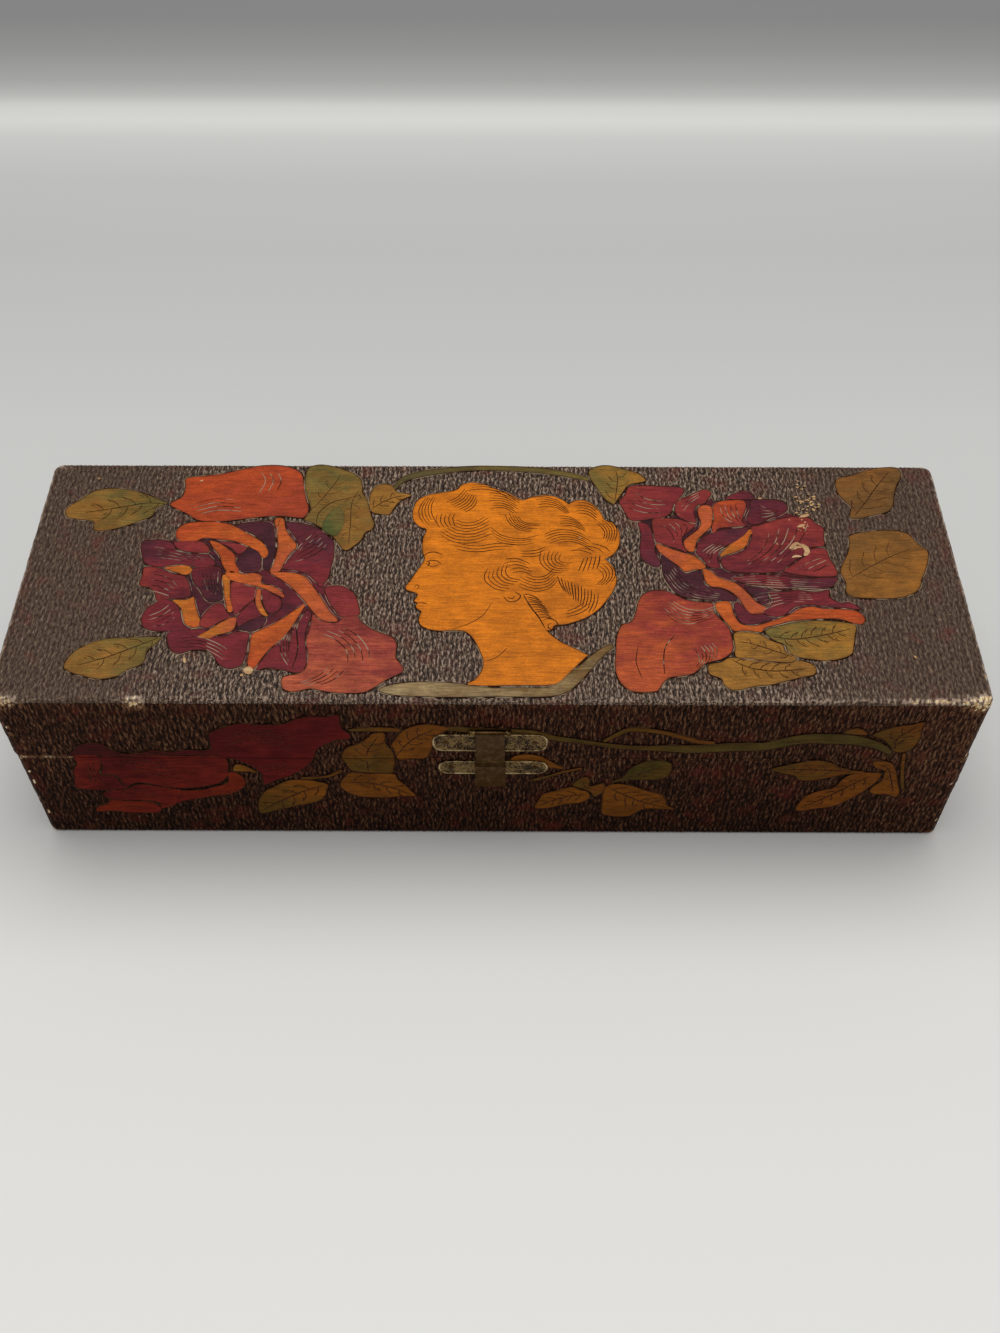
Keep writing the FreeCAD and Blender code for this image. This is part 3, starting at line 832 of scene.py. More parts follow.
def drawing(name, shapes, place, body, cut=None, lift=0.0, painted_shade=(1, 1, 1)):
    """A mesh of many raised shapes. cut keeps only what is above (1) or below (-1) the saw cut. The last
    argument is painted shade: it darkens the stains' red, green and blue on walls that get less light."""
    bm = bmesh.new()
    layers = {key: bm.verts.layers.float_color.new(key) for key in ("stain", "second_stain")}
    layers.update({key: bm.verts.layers.float.new(key) for key in ("fade", "browned")})
    for number, (first, second, angle, numbers) in enumerate(shapes):
        tones = [tuple(a * b for a, b in zip(colour(tone), painted_shade)) + (1.0,) for tone in (first, second)]
        raise_shape(bm, layers, numbers, place, tones, angle, lift + (number * 3 % 7) * LIFT_STEP)
    if cut:
        bmesh.ops.bisect_plane(
            bm,
            geom=bm.verts[:] + bm.edges[:] + bm.faces[:],
            plane_co=(0, 0, (LID_LOW_Z if cut > 0 else BASE_TOP_Z) * MM),
            plane_no=(0, 0, cut),
            clear_inner=True,
        )
        bmesh.ops.holes_fill(bm, edges=[e for e in bm.edges if e.is_boundary], sides=0)
    print(name, len(shapes), "shapes,", len(bm.faces), "faces")
    facing = place(0, 0, 1) - place(0, 0, 0)
    stained = stained_top if facing.z else stained_ends if facing.x else stained_walls
    lit = lit_line_top if facing.z else lit_line_walls
    return finish_piece(name, bm, [stained, char_line, lit], body, smooth=False)


# %% [markdown]
# The stains are few: one orange, one crimson, a plum where crimson lies over burned shading, ochre and
# olive for the leaves, and amber for the head. Wood and age change each one from place to place, so
# most have a lighter and a darker neighbour.

# %% Stains
ORANGE, RED_ORANGE, SALMON, YELLOW = "B5561F", "A8431C", "AA4E2C", "B2661E"
RED, CRIMSON, DARK_CRIMSON, PLUM, DARK_PLUM = "86302A", "742429", "611E26", "50202A", "361820"
OCHRE, GOLD, OLIVE, DARK_OLIVE, PALE_STEM = "845A24", "966624", "6A5A2A", "4E5226", "96805A"
AMBER, DEEP_AMBER = "D07412", "C46C10"
BED_LIFT = -0.09  # a bed lies under its petals, so that no ground shows between them
print("orange in a shader:", [round(part, 3) for part in colour(ORANGE)[:3]])


# %% [markdown]
# The left rose has a dark bed in the shape of the whole flower. The petals lie on it, and each was
# outlined and stained by itself: the light ones are the turned-over rims, the dark ones lie deep inside.

# %% Left rose on the lid
LEFT_BED = [-98, 62.4, -97.4, 66.6, -94.6, 68.6, -88, 69, -82, 68, -76, 69.4, -68, 70.4, -59, 68.6,
    -54.2, 65.8, -50, 61, -49, 55, -49.8, 46, -47, 42.4, -43.4, 41, -40.2, 35, -39, 30, -44, 24, -52, 14,
    -54.6, 10.2, -60, 11, -67, 11.6, -71, 13.6, -75, 11.8, -78, 13.2, -81, 17.6, -86, 18.6, -90, 17.2,
    -92.4, 18.4, -93.6, 21.4, -94, 25, -99, 25.6, -102, 27.4, -102.6, 30, -101.4, 33, -99, 36, -101, 40.8,
    -104.8, 43.4, -104.8, 48, -103.6, 51.4, -106.4, 54, -107, 60, -102, 61]
drawing("left_bed", [(DARK_PLUM, DARK_CRIMSON, 0, LEFT_BED)], on_top, "lid", lift=BED_LIFT)
LEFT_ROSE = [
    (RED_ORANGE, "963A22", -55, [-98.5, 89, -92, 90.2, -86, 91.5, -80, 93.6, -74, 95, -67, 94.6, -62, 91.5,
     -60.5, 86, -59.3, 80, -58, 75, -59.5, 71.5, -65, 72, -70, 72, -77, 71, -85, 69.7, -92, 70.2, -96, 73,
     -100, 75.3, -102, 77.5, -98.8, 80.5, -98.3, 85]),
    (RED_ORANGE, ORANGE, -20, [-98, 66.5, -95, 69, -88, 69.6, -82, 68.5, -78, 66, -74, 63.2, -70.8, 60.5,
     -68.6, 56.5, -69.8, 54, -72.5, 57, -76, 59.5, -80, 61.2, -84, 61.8, -89, 62.5, -92, 61, -96, 61,
     -98, 63]),
    (CRIMSON, RED, 0, [-98.3, 60.7, -95, 61.2, -91, 61.3, -89, 60.5, -87, 58, -87.5, 56.2, -93.3, 56.6,
     -96.8, 58]),
    (PLUM, CRIMSON, -60, [-108, 60.8, -102, 61.8, -98.6, 60.2, -97, 57.6, -93.5, 56, -88, 55.9, -86, 54.5,
     -84.3, 51.5, -87, 49.6, -91.5, 50.8, -96, 51.4, -101, 50.3, -104, 51, -106, 52.2, -107.5, 56]),
    (ORANGE, YELLOW, 0, [-99.3, 49.9, -95, 51, -92.2, 50.8, -90.8, 48.8, -92.5, 47, -95.5, 48]),
    (RED, DARK_CRIMSON, -20, [-105.5, 50.3, -101, 50, -97, 47.8, -93, 46.6, -91.3, 44, -90.3, 41, -90, 38.6,
     -92, 37.8, -96, 37.6, -99.5, 36.5, -101, 40, -103, 42, -106, 43, -105.8, 47]),
    (CRIMSON, DARK_CRIMSON, 0, [-102.5, 33, -100.5, 35.5, -98, 37.4, -95.3, 36.6, -92.7, 34, -91.3, 30,
     -90.3, 27.4, -88, 25.8, -91, 25, -95, 24.8, -99, 25, -102, 26.5, -103.2, 29.5]),
    (YELLOW, ORANGE, -60, [-95, 36.9, -91, 37.3, -89, 38.3, -88, 35, -86.5, 31, -85.4, 28, -87, 26.3,
     -89.8, 27.5, -91, 30, -92.2, 33.7]),
    (DARK_CRIMSON, CRIMSON, 10, [-94.3, 24.5, -88, 25.6, -84, 25.8, -82, 23.6, -78, 23, -75, 24.6, -71, 24.3,
     -70.8, 20, -71, 15, -72, 12, -75, 11, -78, 12.5, -80, 15.5, -82, 17.5, -86, 18, -90, 16.5, -92.5, 17.5,
     -94, 20.5]),
    (YELLOW, SALMON, 40, [-85.6, 22.8, -82.6, 25.6, -80, 28, -77, 30.2, -75.2, 30, -75.2, 26.5, -76.5, 24.7,
     -80, 23.5, -82.6, 22]),
    (RED, CRIMSON, 45, [-86, 28.5, -84.6, 32.5, -82, 35.7, -79.8, 35.2, -78.2, 32, -77, 30.6, -80, 28.6,
     -82.6, 26.4, -85.2, 26.6]),
    (DARK_CRIMSON, DARK_PLUM, -50, [-91, 49.6, -86.5, 50.5, -82.5, 50, -81.8, 46.5, -81, 42, -80.2, 37.5,
     -83.3, 36.2, -85.5, 37.6, -87.5, 41, -90, 44.5]),
    (ORANGE, YELLOW, 90, [-81.6, 46.8, -79.4, 47, -78.7, 43, -78, 38, -76.6, 33, -78, 32.4, -79.5, 37,
     -80.6, 42]),
    (ORANGE, SALMON, -30, [-80.4, 49.2, -78, 49.2, -75.5, 47.6, -72, 48, -69.6, 46.8, -69.3, 43.8, -66, 42.8,
     -63, 40.7, -62, 38.2, -64.5, 39.3, -69, 41.9, -74, 43.4, -78.4, 44.8, -80.6, 47]),
    (RED, CRIMSON, -50, [-78.2, 44.3, -73.6, 43, -70.6, 41.7, -70.6, 38, -73, 35, -75.6, 31.5, -77.2, 34.5,
     -78.2, 39]),
    (CRIMSON, DARK_CRIMSON, -60, [-68.8, 41.4, -65, 39.2, -62.8, 37.2, -62.7, 34, -64.7, 31.6, -66.8, 33,
     -68.2, 36.5]),
    (SALMON, YELLOW, -70, [-70.4, 41.5, -69.2, 41.4, -68.6, 36.5, -66.8, 32.4, -66, 30.8, -67.6, 31.2,
     -69.4, 33.5, -70.5, 37]),
    (CRIMSON, DARK_CRIMSON, 0, [-75.2, 30.6, -73.2, 34, -71, 36.6, -69, 33.2, -67.8, 31.2, -71.6, 28.9,
     -74.3, 27]),
    (DARK_PLUM, PLUM, 0, [-74.6, 26.2, -72, 28.4, -68, 30.8, -66.4, 29.4, -67.6, 26.6, -70.3, 24.9]),
    (ORANGE, RED_ORANGE, -70, [-55.5, 35.3, -58, 33.6, -61, 30.6, -64, 28, -67.6, 25.6, -70, 23.4, -70, 18,
     -70, 13, -68.8, 11, -67.5, 11.4, -66, 15, -64, 18.5, -61.5, 21.5, -59.3, 25, -57.3, 30]),
    (CRIMSON, DARK_CRIMSON, 90, [-59.3, 24.4, -57, 29.5, -54.7, 33, -53.2, 31, -54.4, 25, -54, 20, -53, 15,
     -53.4, 11, -55, 9.6, -59, 10.4, -64, 11.3, -67.2, 11, -64.2, 17.6, -61, 21.8]),
    ("AE5436", "80302A", 60, [-53.2, 26, -52.8, 31.4, -50.4, 29.4, -47, 28.3, -45, 28.8, -43.6, 31, -40, 31.3,
     -38.5, 29, -35, 26, -32, 24.5, -29, 23, -27.5, 20.5, -27.5, 15.5, -26, 13, -25, 11, -26, 9.5, -30, 7,
     -33, 4.5, -36, 2.7, -41, 2.4, -46, 2.8, -51, 3.9, -56, 2.8, -59, 4.2, -59.3, 8, -55, 9.4, -53, 12,
     -53, 17, -54, 22]),
    (ORANGE, SALMON, -40, [-67, 48.3, -60, 48, -56.5, 46.5, -54, 43, -52, 40, -50, 36.5, -48, 33, -45.2, 29.2,
     -48, 28.7, -50.5, 29.7, -53, 32.7, -56, 37, -60, 42, -63.2, 45]),
    (CRIMSON, RED, -60, [-50, 42, -47, 43, -44, 42.3, -41, 39.5, -39.5, 35, -39, 31.4, -42, 31, -44.5, 30.6,
     -47, 34, -49.2, 38]),
    (PLUM, CRIMSON, -90, [-64.6, 69.2, -59, 68.8, -54, 66.5, -51, 63.5, -49, 61, -48.5, 55, -49, 50,
     -49.6, 45.5, -51.4, 42.6, -53.2, 44.6, -55.6, 47.2, -59, 49, -63.6, 50, -62.3, 53.5, -60.2, 57.4,
     -60, 60.6, -62, 64.5]),
    (ORANGE, SALMON, -70, [-68.3, 70.6, -65.5, 71, -64.5, 67, -62.5, 63, -60.7, 60.5, -60.3, 58.5, -62, 56,
     -63.5, 51.5, -64.6, 48.6, -67.4, 48.5, -66.5, 53, -66.1, 59, -67, 65]),
    (PLUM, DARK_PLUM, -50, [-81.5, 66.7, -77, 69.3, -72, 69.7, -69, 68.7, -67.4, 63, -66.6, 57, -67.2, 50,
     -69.4, 49.6, -70, 54, -69, 57.5, -71.4, 61.6, -75, 64.6, -79, 66]),
    (ORANGE, RED_ORANGE, 0, [-87.2, 61.3, -84.5, 60.6, -81, 57.8, -78.6, 55, -78.2, 52, -76.6, 48.6,
     -79.4, 47.4, -82, 51, -83.5, 55, -86, 58.5]),
    (CRIMSON, RED, 0, [-84, 60.8, -80, 60.6, -75.5, 58.8, -77.5, 55.8, -80.5, 58.4]),
    (DARK_PLUM, PLUM, -60, [-78, 53, -75.2, 58, -71.6, 57, -70.4, 53, -70.6, 49, -74.5, 47.9, -77, 49.6]),
]
drawing("left_rose", LEFT_ROSE, on_top, "lid")


# %% [markdown]
# The right rose is made in the same way. It is seen more from the side, so its rims run across it in
# long bands, and one large outer petal hangs down at the left.

# %% Right rose on the lid
RIGHT_BED = [45.6, 70.4, 50, 71.6, 56, 72, 58.4, 76.4, 62, 80.6, 68, 83.6, 70, 79.4, 76, 81, 80, 83, 83, 79.6,
    92, 78.6, 92, 74.6, 99, 71.6, 102.4, 67, 101.6, 60, 102.4, 56, 103.6, 47, 101, 41.6, 100.4, 39, 104, 36,
    108, 33, 109, 29.4, 98, 30.6, 88, 30, 80, 27.6, 74, 26.2, 69.6, 28.4, 66.4, 34.6, 66, 36.8, 58, 39,
    53.6, 43, 52.4, 48, 50.4, 51, 46, 55.4, 46, 60, 46.6, 65]
drawing("right_bed", [(DARK_PLUM, DARK_CRIMSON, 0, RIGHT_BED)], on_top, "lid", lift=BED_LIFT)
RIGHT_ROSE = [
    (RED, CRIMSON, -30, [44, 86, 52, 86, 59.5, 85.5, 61, 84, 59.5, 81, 57, 77, 56, 74, 53.5, 72, 50, 71.5,
     46, 70.5, 43, 71, 41, 75.5, 40, 79, 42, 82]),
    (RED, CRIMSON, -60, [57.3, 76, 58.5, 79.5, 62, 81.5, 65, 83.5, 68, 84.5, 69.5, 82.5, 67.5, 79, 66.5, 78,
     64.3, 77, 63.3, 74, 63.6, 70, 61.5, 70, 59.5, 71.2, 57.8, 73]),
    (SALMON, ORANGE, -70, [64.7, 76.3, 67, 77.6, 69, 76.5, 69, 72, 68, 68, 66, 65.5, 63.5, 62.5, 62.5, 59.5,
     62, 57.5, 60, 57.5, 59, 60, 59.2, 62, 61, 64, 64, 67, 65, 70, 64.5, 73]),
    (RED_ORANGE, RED, -40, [69.3, 76.5, 71.5, 79, 76, 79.8, 79.5, 79.5, 80, 77, 78.5, 72.5, 78, 69.8,
     79, 68.6, 75, 68, 70.5, 67.3, 68.7, 65.2, 68.2, 67.6, 69.3, 72]),
    (CRIMSON, PLUM, 0, [74, 80.5, 77, 82.8, 80, 84, 82, 83, 83, 80.3, 80.2, 80, 76, 80.1]),
    (PLUM, DARK_CRIMSON, -60, [82, 79.7, 87, 80, 91.5, 79.5, 93, 77, 92.5, 75, 90, 73, 87, 71.8, 83, 69.4,
     80.3, 69.4, 79.6, 72, 81, 75.5]),
    (RED, DARK_CRIMSON, -90, [80.5, 67.8, 84, 69, 87.5, 70.8, 91, 71.7, 95, 72.5, 99, 72, 101, 69.5,
     103, 67.5, 102.5, 63, 102, 60, 97.5, 59.2, 95, 56, 91, 52.6, 87.5, 49.4, 83, 48.7, 76, 48.8, 70.6, 50,
     70, 54.6, 73.5, 56.2, 77.3, 58.2, 79.3, 61, 80.5, 64.5]),
    (RED_ORANGE, RED, -50, [87.6, 69.6, 91, 70.6, 94, 69.5, 94, 66, 92.3, 62.4, 89, 62, 87.4, 65]),
    (CRIMSON, RED, 0, [88.5, 49.3, 92, 52.4, 96, 56, 98.3, 58.6, 102.3, 58.6, 103, 55, 104.2, 51, 104, 47.6,
     96, 47.4]),
    (CRIMSON, PLUM, -80, [72.5, 46.4, 78, 47.7, 84, 48, 90, 47.3, 96, 46.6, 104, 46.8, 103.4, 44.6, 101, 42.6,
     96, 41.8, 91, 42.3, 86, 41.8, 82, 43.3, 77, 44]),
    (DARK_PLUM, PLUM, 0, [76, 43.2, 79, 43, 82.2, 42, 82.7, 39, 82, 36, 80.6, 35.6, 78.6, 38.6, 77, 41]),
    (DARK_CRIMSON, CRIMSON, -60, [83, 41, 88, 41.3, 92, 41.7, 97, 41, 101, 41.8, 100.7, 39, 102.7, 36.4,
     98, 35.5, 94, 36, 90, 35, 86, 31.6, 82.4, 31.4, 80.3, 33, 82.6, 35.3, 83.7, 37.8]),
    (ORANGE, RED_ORANGE, 0, [67, 36.8, 70.8, 37, 71.4, 33, 72.4, 29.6, 73.6, 28.2, 77, 27.7, 80.5, 28.8,
     84, 30.3, 88, 32, 91, 34.2, 95, 35.2, 98, 34.4, 104, 34.2, 108, 33.5, 110, 31, 109, 28.5, 106.6, 28.6,
     103, 30.2, 98, 30.5, 93, 30.1, 88, 29.5, 84, 28.2, 80, 26.8, 79, 25.3, 75, 25.7, 71, 25.7, 69.6, 27.8,
     67.7, 31.2, 66.2, 34.8]),
    (PLUM, CRIMSON, 0, [101, 37.6, 104, 36.7, 106.5, 37, 109, 34.2, 104, 34.8, 99.5, 35.2]),
    (DARK_CRIMSON, PLUM, 0, [72, 36, 73.6, 36.8, 75.4, 34, 77, 32.2, 80, 32.3, 83, 31, 84.6, 30.8, 80, 29.2,
     76.5, 28.2, 73.8, 28.8, 72.4, 31.5]),
    (ORANGE, SALMON, -50, [64, 50.2, 66.5, 49.2, 68, 47.2, 70, 46, 73, 44.7, 75, 42.7, 77, 39.7, 79, 36.6,
     81.5, 34.6, 81, 32.8, 78, 32.3, 76, 32.8, 74.5, 36, 73.5, 38.5, 71.5, 41, 69, 42.5, 66, 43, 64.5, 44.5,
     64, 47]),
    (SALMON, ORANGE, -30, [50.5, 60.8, 54, 59, 58, 57.2, 61.5, 55.7, 64, 53, 65, 51, 63.5, 50, 61, 49.8,
     58.5, 49, 56.5, 51.5, 53.5, 54.5, 51, 57.5]),
    (RED, CRIMSON, -90, [50, 71, 54, 71.6, 58, 71.3, 62, 69.5, 63.5, 69, 61.5, 66.5, 58.8, 63.5, 58.7, 60.5,
     59.6, 57.4, 57, 58.4, 54, 59.7, 50.5, 61.6, 50, 64.5]),
    (CRIMSON, PLUM, -90, [45.5, 69.7, 48.6, 68.6, 49.6, 65, 50, 61, 50, 57, 51.3, 52.6, 50, 50.7, 47, 52.5,
     45.3, 55.5, 45.5, 60, 46, 65]),
    (DARK_PLUM, PLUM, -40, [52, 56.3, 54.5, 53.7, 57, 50.7, 58.6, 48.3, 61.5, 49.2, 63.5, 47.6, 63.8, 44,
     66, 42.5, 69.3, 41.8, 73, 38.5, 72.5, 37.2, 68, 37.4, 62, 37.9, 58, 38.6, 55, 40.6, 53, 44, 51.7, 48,
     51.7, 52]),
    (CRIMSON, PLUM, 60, [64, 62.3, 67.3, 64.8, 71, 66.6, 76, 67.3, 79.5, 67.8, 79, 65.5, 76, 62.5, 72, 59.5,
     69.7, 57.7, 68.7, 54, 69.3, 50.7, 66, 51, 64.5, 53.7, 62.5, 56.7, 63, 59.5]),
    (YELLOW, ORANGE, 40, [69.8, 55.6, 73, 56.6, 77, 58.6, 79, 61.5, 80, 64.5, 83, 66, 80.3, 67, 77.5, 65.7,
     75, 62.2, 72, 59.2]),
    ("AC4E26", "862F28", 55, [38.2, 27.7, 41, 29, 42.5, 32.5, 43.5, 36.5, 45, 39.5, 48, 41.4, 52, 41.2,
     55, 39.6, 58, 37.7, 62, 36.9, 65.6, 36.3, 65.8, 33, 67.5, 30, 69.5, 27, 70, 23, 70, 19, 68.5, 16.7,
     66, 15, 62, 13.7, 60, 12, 58, 10, 55, 9, 51, 8.3, 49, 6.5, 47.5, 4, 46, 3.2, 42, 3, 39, 3.8, 36.5, 7,
     35.5, 12, 36, 18, 36.5, 23]),
]
drawing("right_rose", RIGHT_ROSE, on_top, "lid")


# %% [markdown]
# Ten leaves stand round the roses. Most are ochre at one side and olive at the other, as if the colour
# was laid on wet, and one small dark leaf lies over a larger one.

# %% Leaves on the lid
LID_LEAVES = [
    (OCHRE, OLIVE, 20, [-134.5, 75, -131, 79, -127, 83, -121, 84.3, -114, 83, -108, 80.5, -103, 77.7,
     -103, 77.7, -106, 75.5, -107, 72, -111, 69.5, -116, 67, -121, 65.5, -124, 66, -125, 69.5, -130, 70.5,
     -133.5, 71.5]),
    (OCHRE, OLIVE, 45, [-122.5, 12, -121, 16.5, -117, 20, -112, 22, -106, 22.5, -101, 22.8, -96, 22.7,
     -96, 22.7, -97.5, 20, -99.5, 17.5, -100, 13, -104, 10.5, -107, 8, -112, 7.2, -117, 8.5, -121, 10]),
    (OLIVE, OCHRE, -40, [-60, 93, -57, 95.2, -52, 94.6, -46, 92, -43, 89.5, -41.8, 86, -41.5, 82.5, -40, 80,
     -39, 76, -38, 72, -37, 69, -37.5, 66.5, -39.5, 65, -40.5, 62, -42, 60, -44.5, 57.5, -46, 58, -48, 61,
     -50.4, 64.6, -53.6, 67.2, -57, 69.6, -59, 70.6, -57.4, 75, -58.8, 80, -60.2, 86]),
    (OCHRE, GOLD, -60, [-39.3, 79, -38.5, 84, -37, 86, -34, 86.5, -32, 85.5, -30.5, 83, -27.5, 82.3,
     -26, 81.3, -28.5, 79.8, -30, 78, -31.5, 75, -32.5, 73, -36, 73.2, -38.3, 74.4]),
    (OLIVE, GOLD, 0, [31, 93, 34, 95, 38, 95.2, 43, 93.5, 47, 91.5, 49, 88.5, 46, 87.3, 43.3, 86.4, 41.3, 83,
     39.3, 79.4, 38.3, 77.6, 38.3, 77.6, 36, 79.5, 34, 83, 32.3, 87, 31, 90]),
    (OLIVE, GOLD, -40, [80.3, 26.2, 84, 27.6, 89, 29, 94, 29.7, 99, 29.7, 103, 29.2, 106.8, 28, 106, 24,
     105, 20, 104, 17.2, 100.5, 15.4, 96, 14.7, 92, 15.2, 88.3, 16, 85.7, 18, 85.2, 20.4, 82.5, 22,
     80.5, 24]),
    (GOLD, OCHRE, -50, [70.8, 24.7, 74, 25.2, 78, 24.6, 81.5, 22, 84.5, 20.4, 85, 18.2, 88, 15.6, 86, 14,
     80, 14.3, 74, 15.3, 70.5, 16, 70.6, 20]),
    (GOLD, OCHRE, 0, [62.6, 13.2, 66, 14, 68.7, 15.6, 74, 15, 80, 14.1, 85, 13.7, 88.5, 14.7, 92, 13.4,
     93, 11.5, 92, 9.5, 88, 8.5, 84, 7.2, 80, 6, 75, 5.3, 71, 4.2, 68, 4, 66, 6, 65.5, 8, 62.5, 9.5,
     62, 11.5]),
    ("7A4E20", "6A4A24", -40, [109.5, 85, 110.5, 89.5, 115, 91, 120, 93.3, 125, 94.6, 130.5, 94.6, 131.3, 91,
     129, 86.5, 127.5, 82, 126.5, 78, 124.5, 75, 119, 73, 113.5, 71.5, 112, 72.5, 113, 77, 111, 80]),
    ("744E22", "8A5820", -50, [111, 64.5, 118, 66.3, 125, 66.5, 129, 65, 131, 61, 133.5, 58, 133, 54, 131, 49,
     129.5, 46, 128.5, 43, 126, 40.5, 121, 38.7, 114, 38.5, 108, 39, 106, 41, 106.5, 45, 105.5, 49, 107, 53,
     109, 57, 110, 61]),
]
drawing("lid_leaves", LID_LEAVES, on_top, "lid")
LEAFLET = [-53, 66.4, -52.6, 71, -50.6, 75, -47.8, 75.8, -46.4, 72, -46.6, 67, -48.8, 63.4]
drawing("lid_leaflet", [(DARK_OLIVE, OLIVE, 30, LEAFLET)], on_top, "lid", lift=0.1)


# %% [markdown]
# A stem is a line with a width that changes along it. The two sides are set off square to the line,
# and the outline that they make is raised like a leaf.

# %% Stems
def stem(numbers):
    """The outline of a stem from its middle line: across, up and width at each point."""
    middle = [Vector(point) for point in groups(numbers, 3)]
    left, right = [], []
    for before, spot, after in zip(middle[:1] + middle, middle, middle[1:] + middle[-1:]):
        way = (after.xy - before.xy).normalized()
        side = Vector((-way.y, way.x)) * spot.z / 2
        left.extend(spot.xy + side)
        right[:0] = spot.xy - side
    return left + right


LID_STEMS = [
    ("564A28", "665426", 0, stem([-31.5, 84.6, 1.2, -29, 88.5, 2.2, -24, 91, 2.6, -15, 93, 2.4, -5, 94, 2,
     5, 93.8, 2.2, 15, 93, 2.4, 24, 91.2, 2.2, 30.5, 89, 1.4])),
    (PALE_STEM, "6A4E28", 0, stem([-31.4, 3.6, 1.2, -27, 3.7, 4, -20, 3.9, 5.2, -11, 3.6, 5, 0, 2.9, 3.2,
     8, 2.9, 3.2, 16, 3, 3.2, 20.4, 4.8, 4.2, 24, 8.6, 4.4, 26.8, 11.6, 3.4, 29.6, 15, 3, 32, 17.6, 2.4,
     34.8, 20, 1.6])),
]
drawing("lid_stems", LID_STEMS, on_top, "lid")


# %% [markdown]
# Thin lines were drawn with the point of the hot tool: veins, strands of hair and shading in the petals.
# A curve with a width at each point gives such a line, thick in the middle and fine at its ends. It is
# turned into a mesh, pressed flat, and laid on the raised shapes.

# %% Thin burned lines
LINE_LEVEL = SHAPE_HEIGHT + 0.06
LINE_STEP = 0.8
LINE_FLATNESS = 0.35


def burned_lines(
    name, lines, place, body, level=LINE_LEVEL, material=char_line, flatness=LINE_FLATNESS
):
    """One mesh of thin lines. Each is its points and its full width in millimetres."""
    curve = bpy.data.curves.new(name, "CURVE")
    curve.dimensions = "3D"
    curve.bevel_depth = 0.5
    curve.bevel_resolution = 1
    curve.use_fill_caps = True
    for points, width in lines:
        line = smooth_line(points, False, LINE_STEP)
        spline = curve.splines.new("POLY")
        spline.points.add(len(line) - 1)
        for i, spot in enumerate(line):
            share = i / (len(line) - 1)
            taper = 0.3 + 0.7 * math.sin(math.pi * share) ** 0.5
            spline.points[i].co = (spot.x, spot.y, 0, 1)
            spline.points[i].radius = width * taper
    drawn = bpy.data.objects.new(name, curve)
    mesh = bpy.data.meshes.new_from_object(drawn)
    bpy.data.objects.remove(drawn)
    bpy.data.curves.remove(curve)
    bm = bmesh.new()
    bm.from_mesh(mesh)
    bpy.data.meshes.remove(mesh)
    bmesh.ops.remove_doubles(bm, verts=bm.verts, dist=0.0005)
    for vert in bm.verts:
        u, v, h = vert.co
        vert.co = place(u, v, level + h * flatness)
    print(name, len(lines), "lines")
    return finish_piece(name, bm, [material], body)


# %% [markdown]
# Strands of hair and shading in a petal run side by side. Only the first and the last line of such a
# family are listed, and the others are spread between, each with its ends drawn back by its own
# amount. Every family has a seed of its own, so chance falls the same way each time.

# %% Strands
STRAND_WIDTH = 0.27


def between(first, last, share):
    return [tuple(a + (b - a) * share for a, b in zip(p, q)) for p, q in zip(groups(first), groups(last))]


def strands(rows):
    """Families of lines. A row is a seed, how many lines, the first, the last and perhaps a width."""
    made = []
    for seed, count, first, last, *own_width in rows:
        pick = random.Random(seed)
        width = own_width[0] if own_width else STRAND_WIDTH
        for i in range(count):
            line = smooth_line(between(first, last, i / (count - 1)), False, LINE_STEP)
            length = len(line)
            start = int(length * pick.uniform(0.0, 0.18))
            end = length - int(length * pick.uniform(0.0, 0.22))
            kept = [tuple(p) for p in line[start:end:3]] + [tuple(line[end - 1])]
            made.append((kept, width * pick.uniform(0.8, 1.15)))
    return made


def singles(rows):
    """Lines that stand alone. A row is a width and the line."""
    return [(groups(numbers), width) for width, numbers in rows]


# %% [markdown]
# A leaf needs only its midrib. Side veins branch off to the left and right in turn, longest in the
# middle, and a short stroke stands beside each. Lines that run over the saw cut are cut there, like the
# shapes that they lie on.

# %% Veins
def veins(rows, width=0.34):
    """Midribs with their side veins and short strokes. A row is a seed, the veins' length, how many
    pairs of them, and the midrib from stalk to tip."""
    made = []
    for seed, reach, count, midrib in rows:
        pick = random.Random(seed)
        line = smooth_line(groups(midrib), False, LINE_STEP / 2)
        made.append((groups(midrib), width))
        for i in range(4 * count):
            share = 0.1 + 0.76 * i / (4 * count)
            at = int(len(line) * share)
            ahead = (line[min(at + 1, len(line) - 1)] - line[max(at - 1, 0)]).normalized()
            across = Vector((-ahead.y, ahead.x)) * (1 if i % 4 < 2 else -1)
            length = reach * math.sin(math.pi * (0.3 + 0.55 * share)) * pick.uniform(0.85, 1.1)
            start = line[at]
            if i % 2:
                start = start + (ahead * 0.5 + across) * length * pick.uniform(0.3, 0.7)
                length *= 0.32
            way_out = start + (ahead * 0.25 + across * 0.5) * length
            tip = start + (ahead * 0.75 + across * 0.85) * length
            made.append(([tuple(start), tuple(way_out), tuple(tip)], width * (0.6 if i % 2 else 0.75)))
    return made


def half_lines(lines, cut):
    """What lies above (1) or below (-1) the saw cut of each line, with a little space beside the cut."""
    made = []
    for points, width in lines:
        kept = [tuple(p) for p in smooth_line(points, False, LINE_STEP) if (p.y - SEAM) * cut > 0.4]
        if len(kept) > 2:
            made.append((kept, width))
    return made


# %% [markdown]
# The head stands between the roses in plain amber. It is drawn from scratch on the proportions of a
# drawing book: brow, nose and chin share the height of the face in thirds, and the ear lies between
# the lines of brow and nose. Head and hair are one silhouette, cut out of the ground.

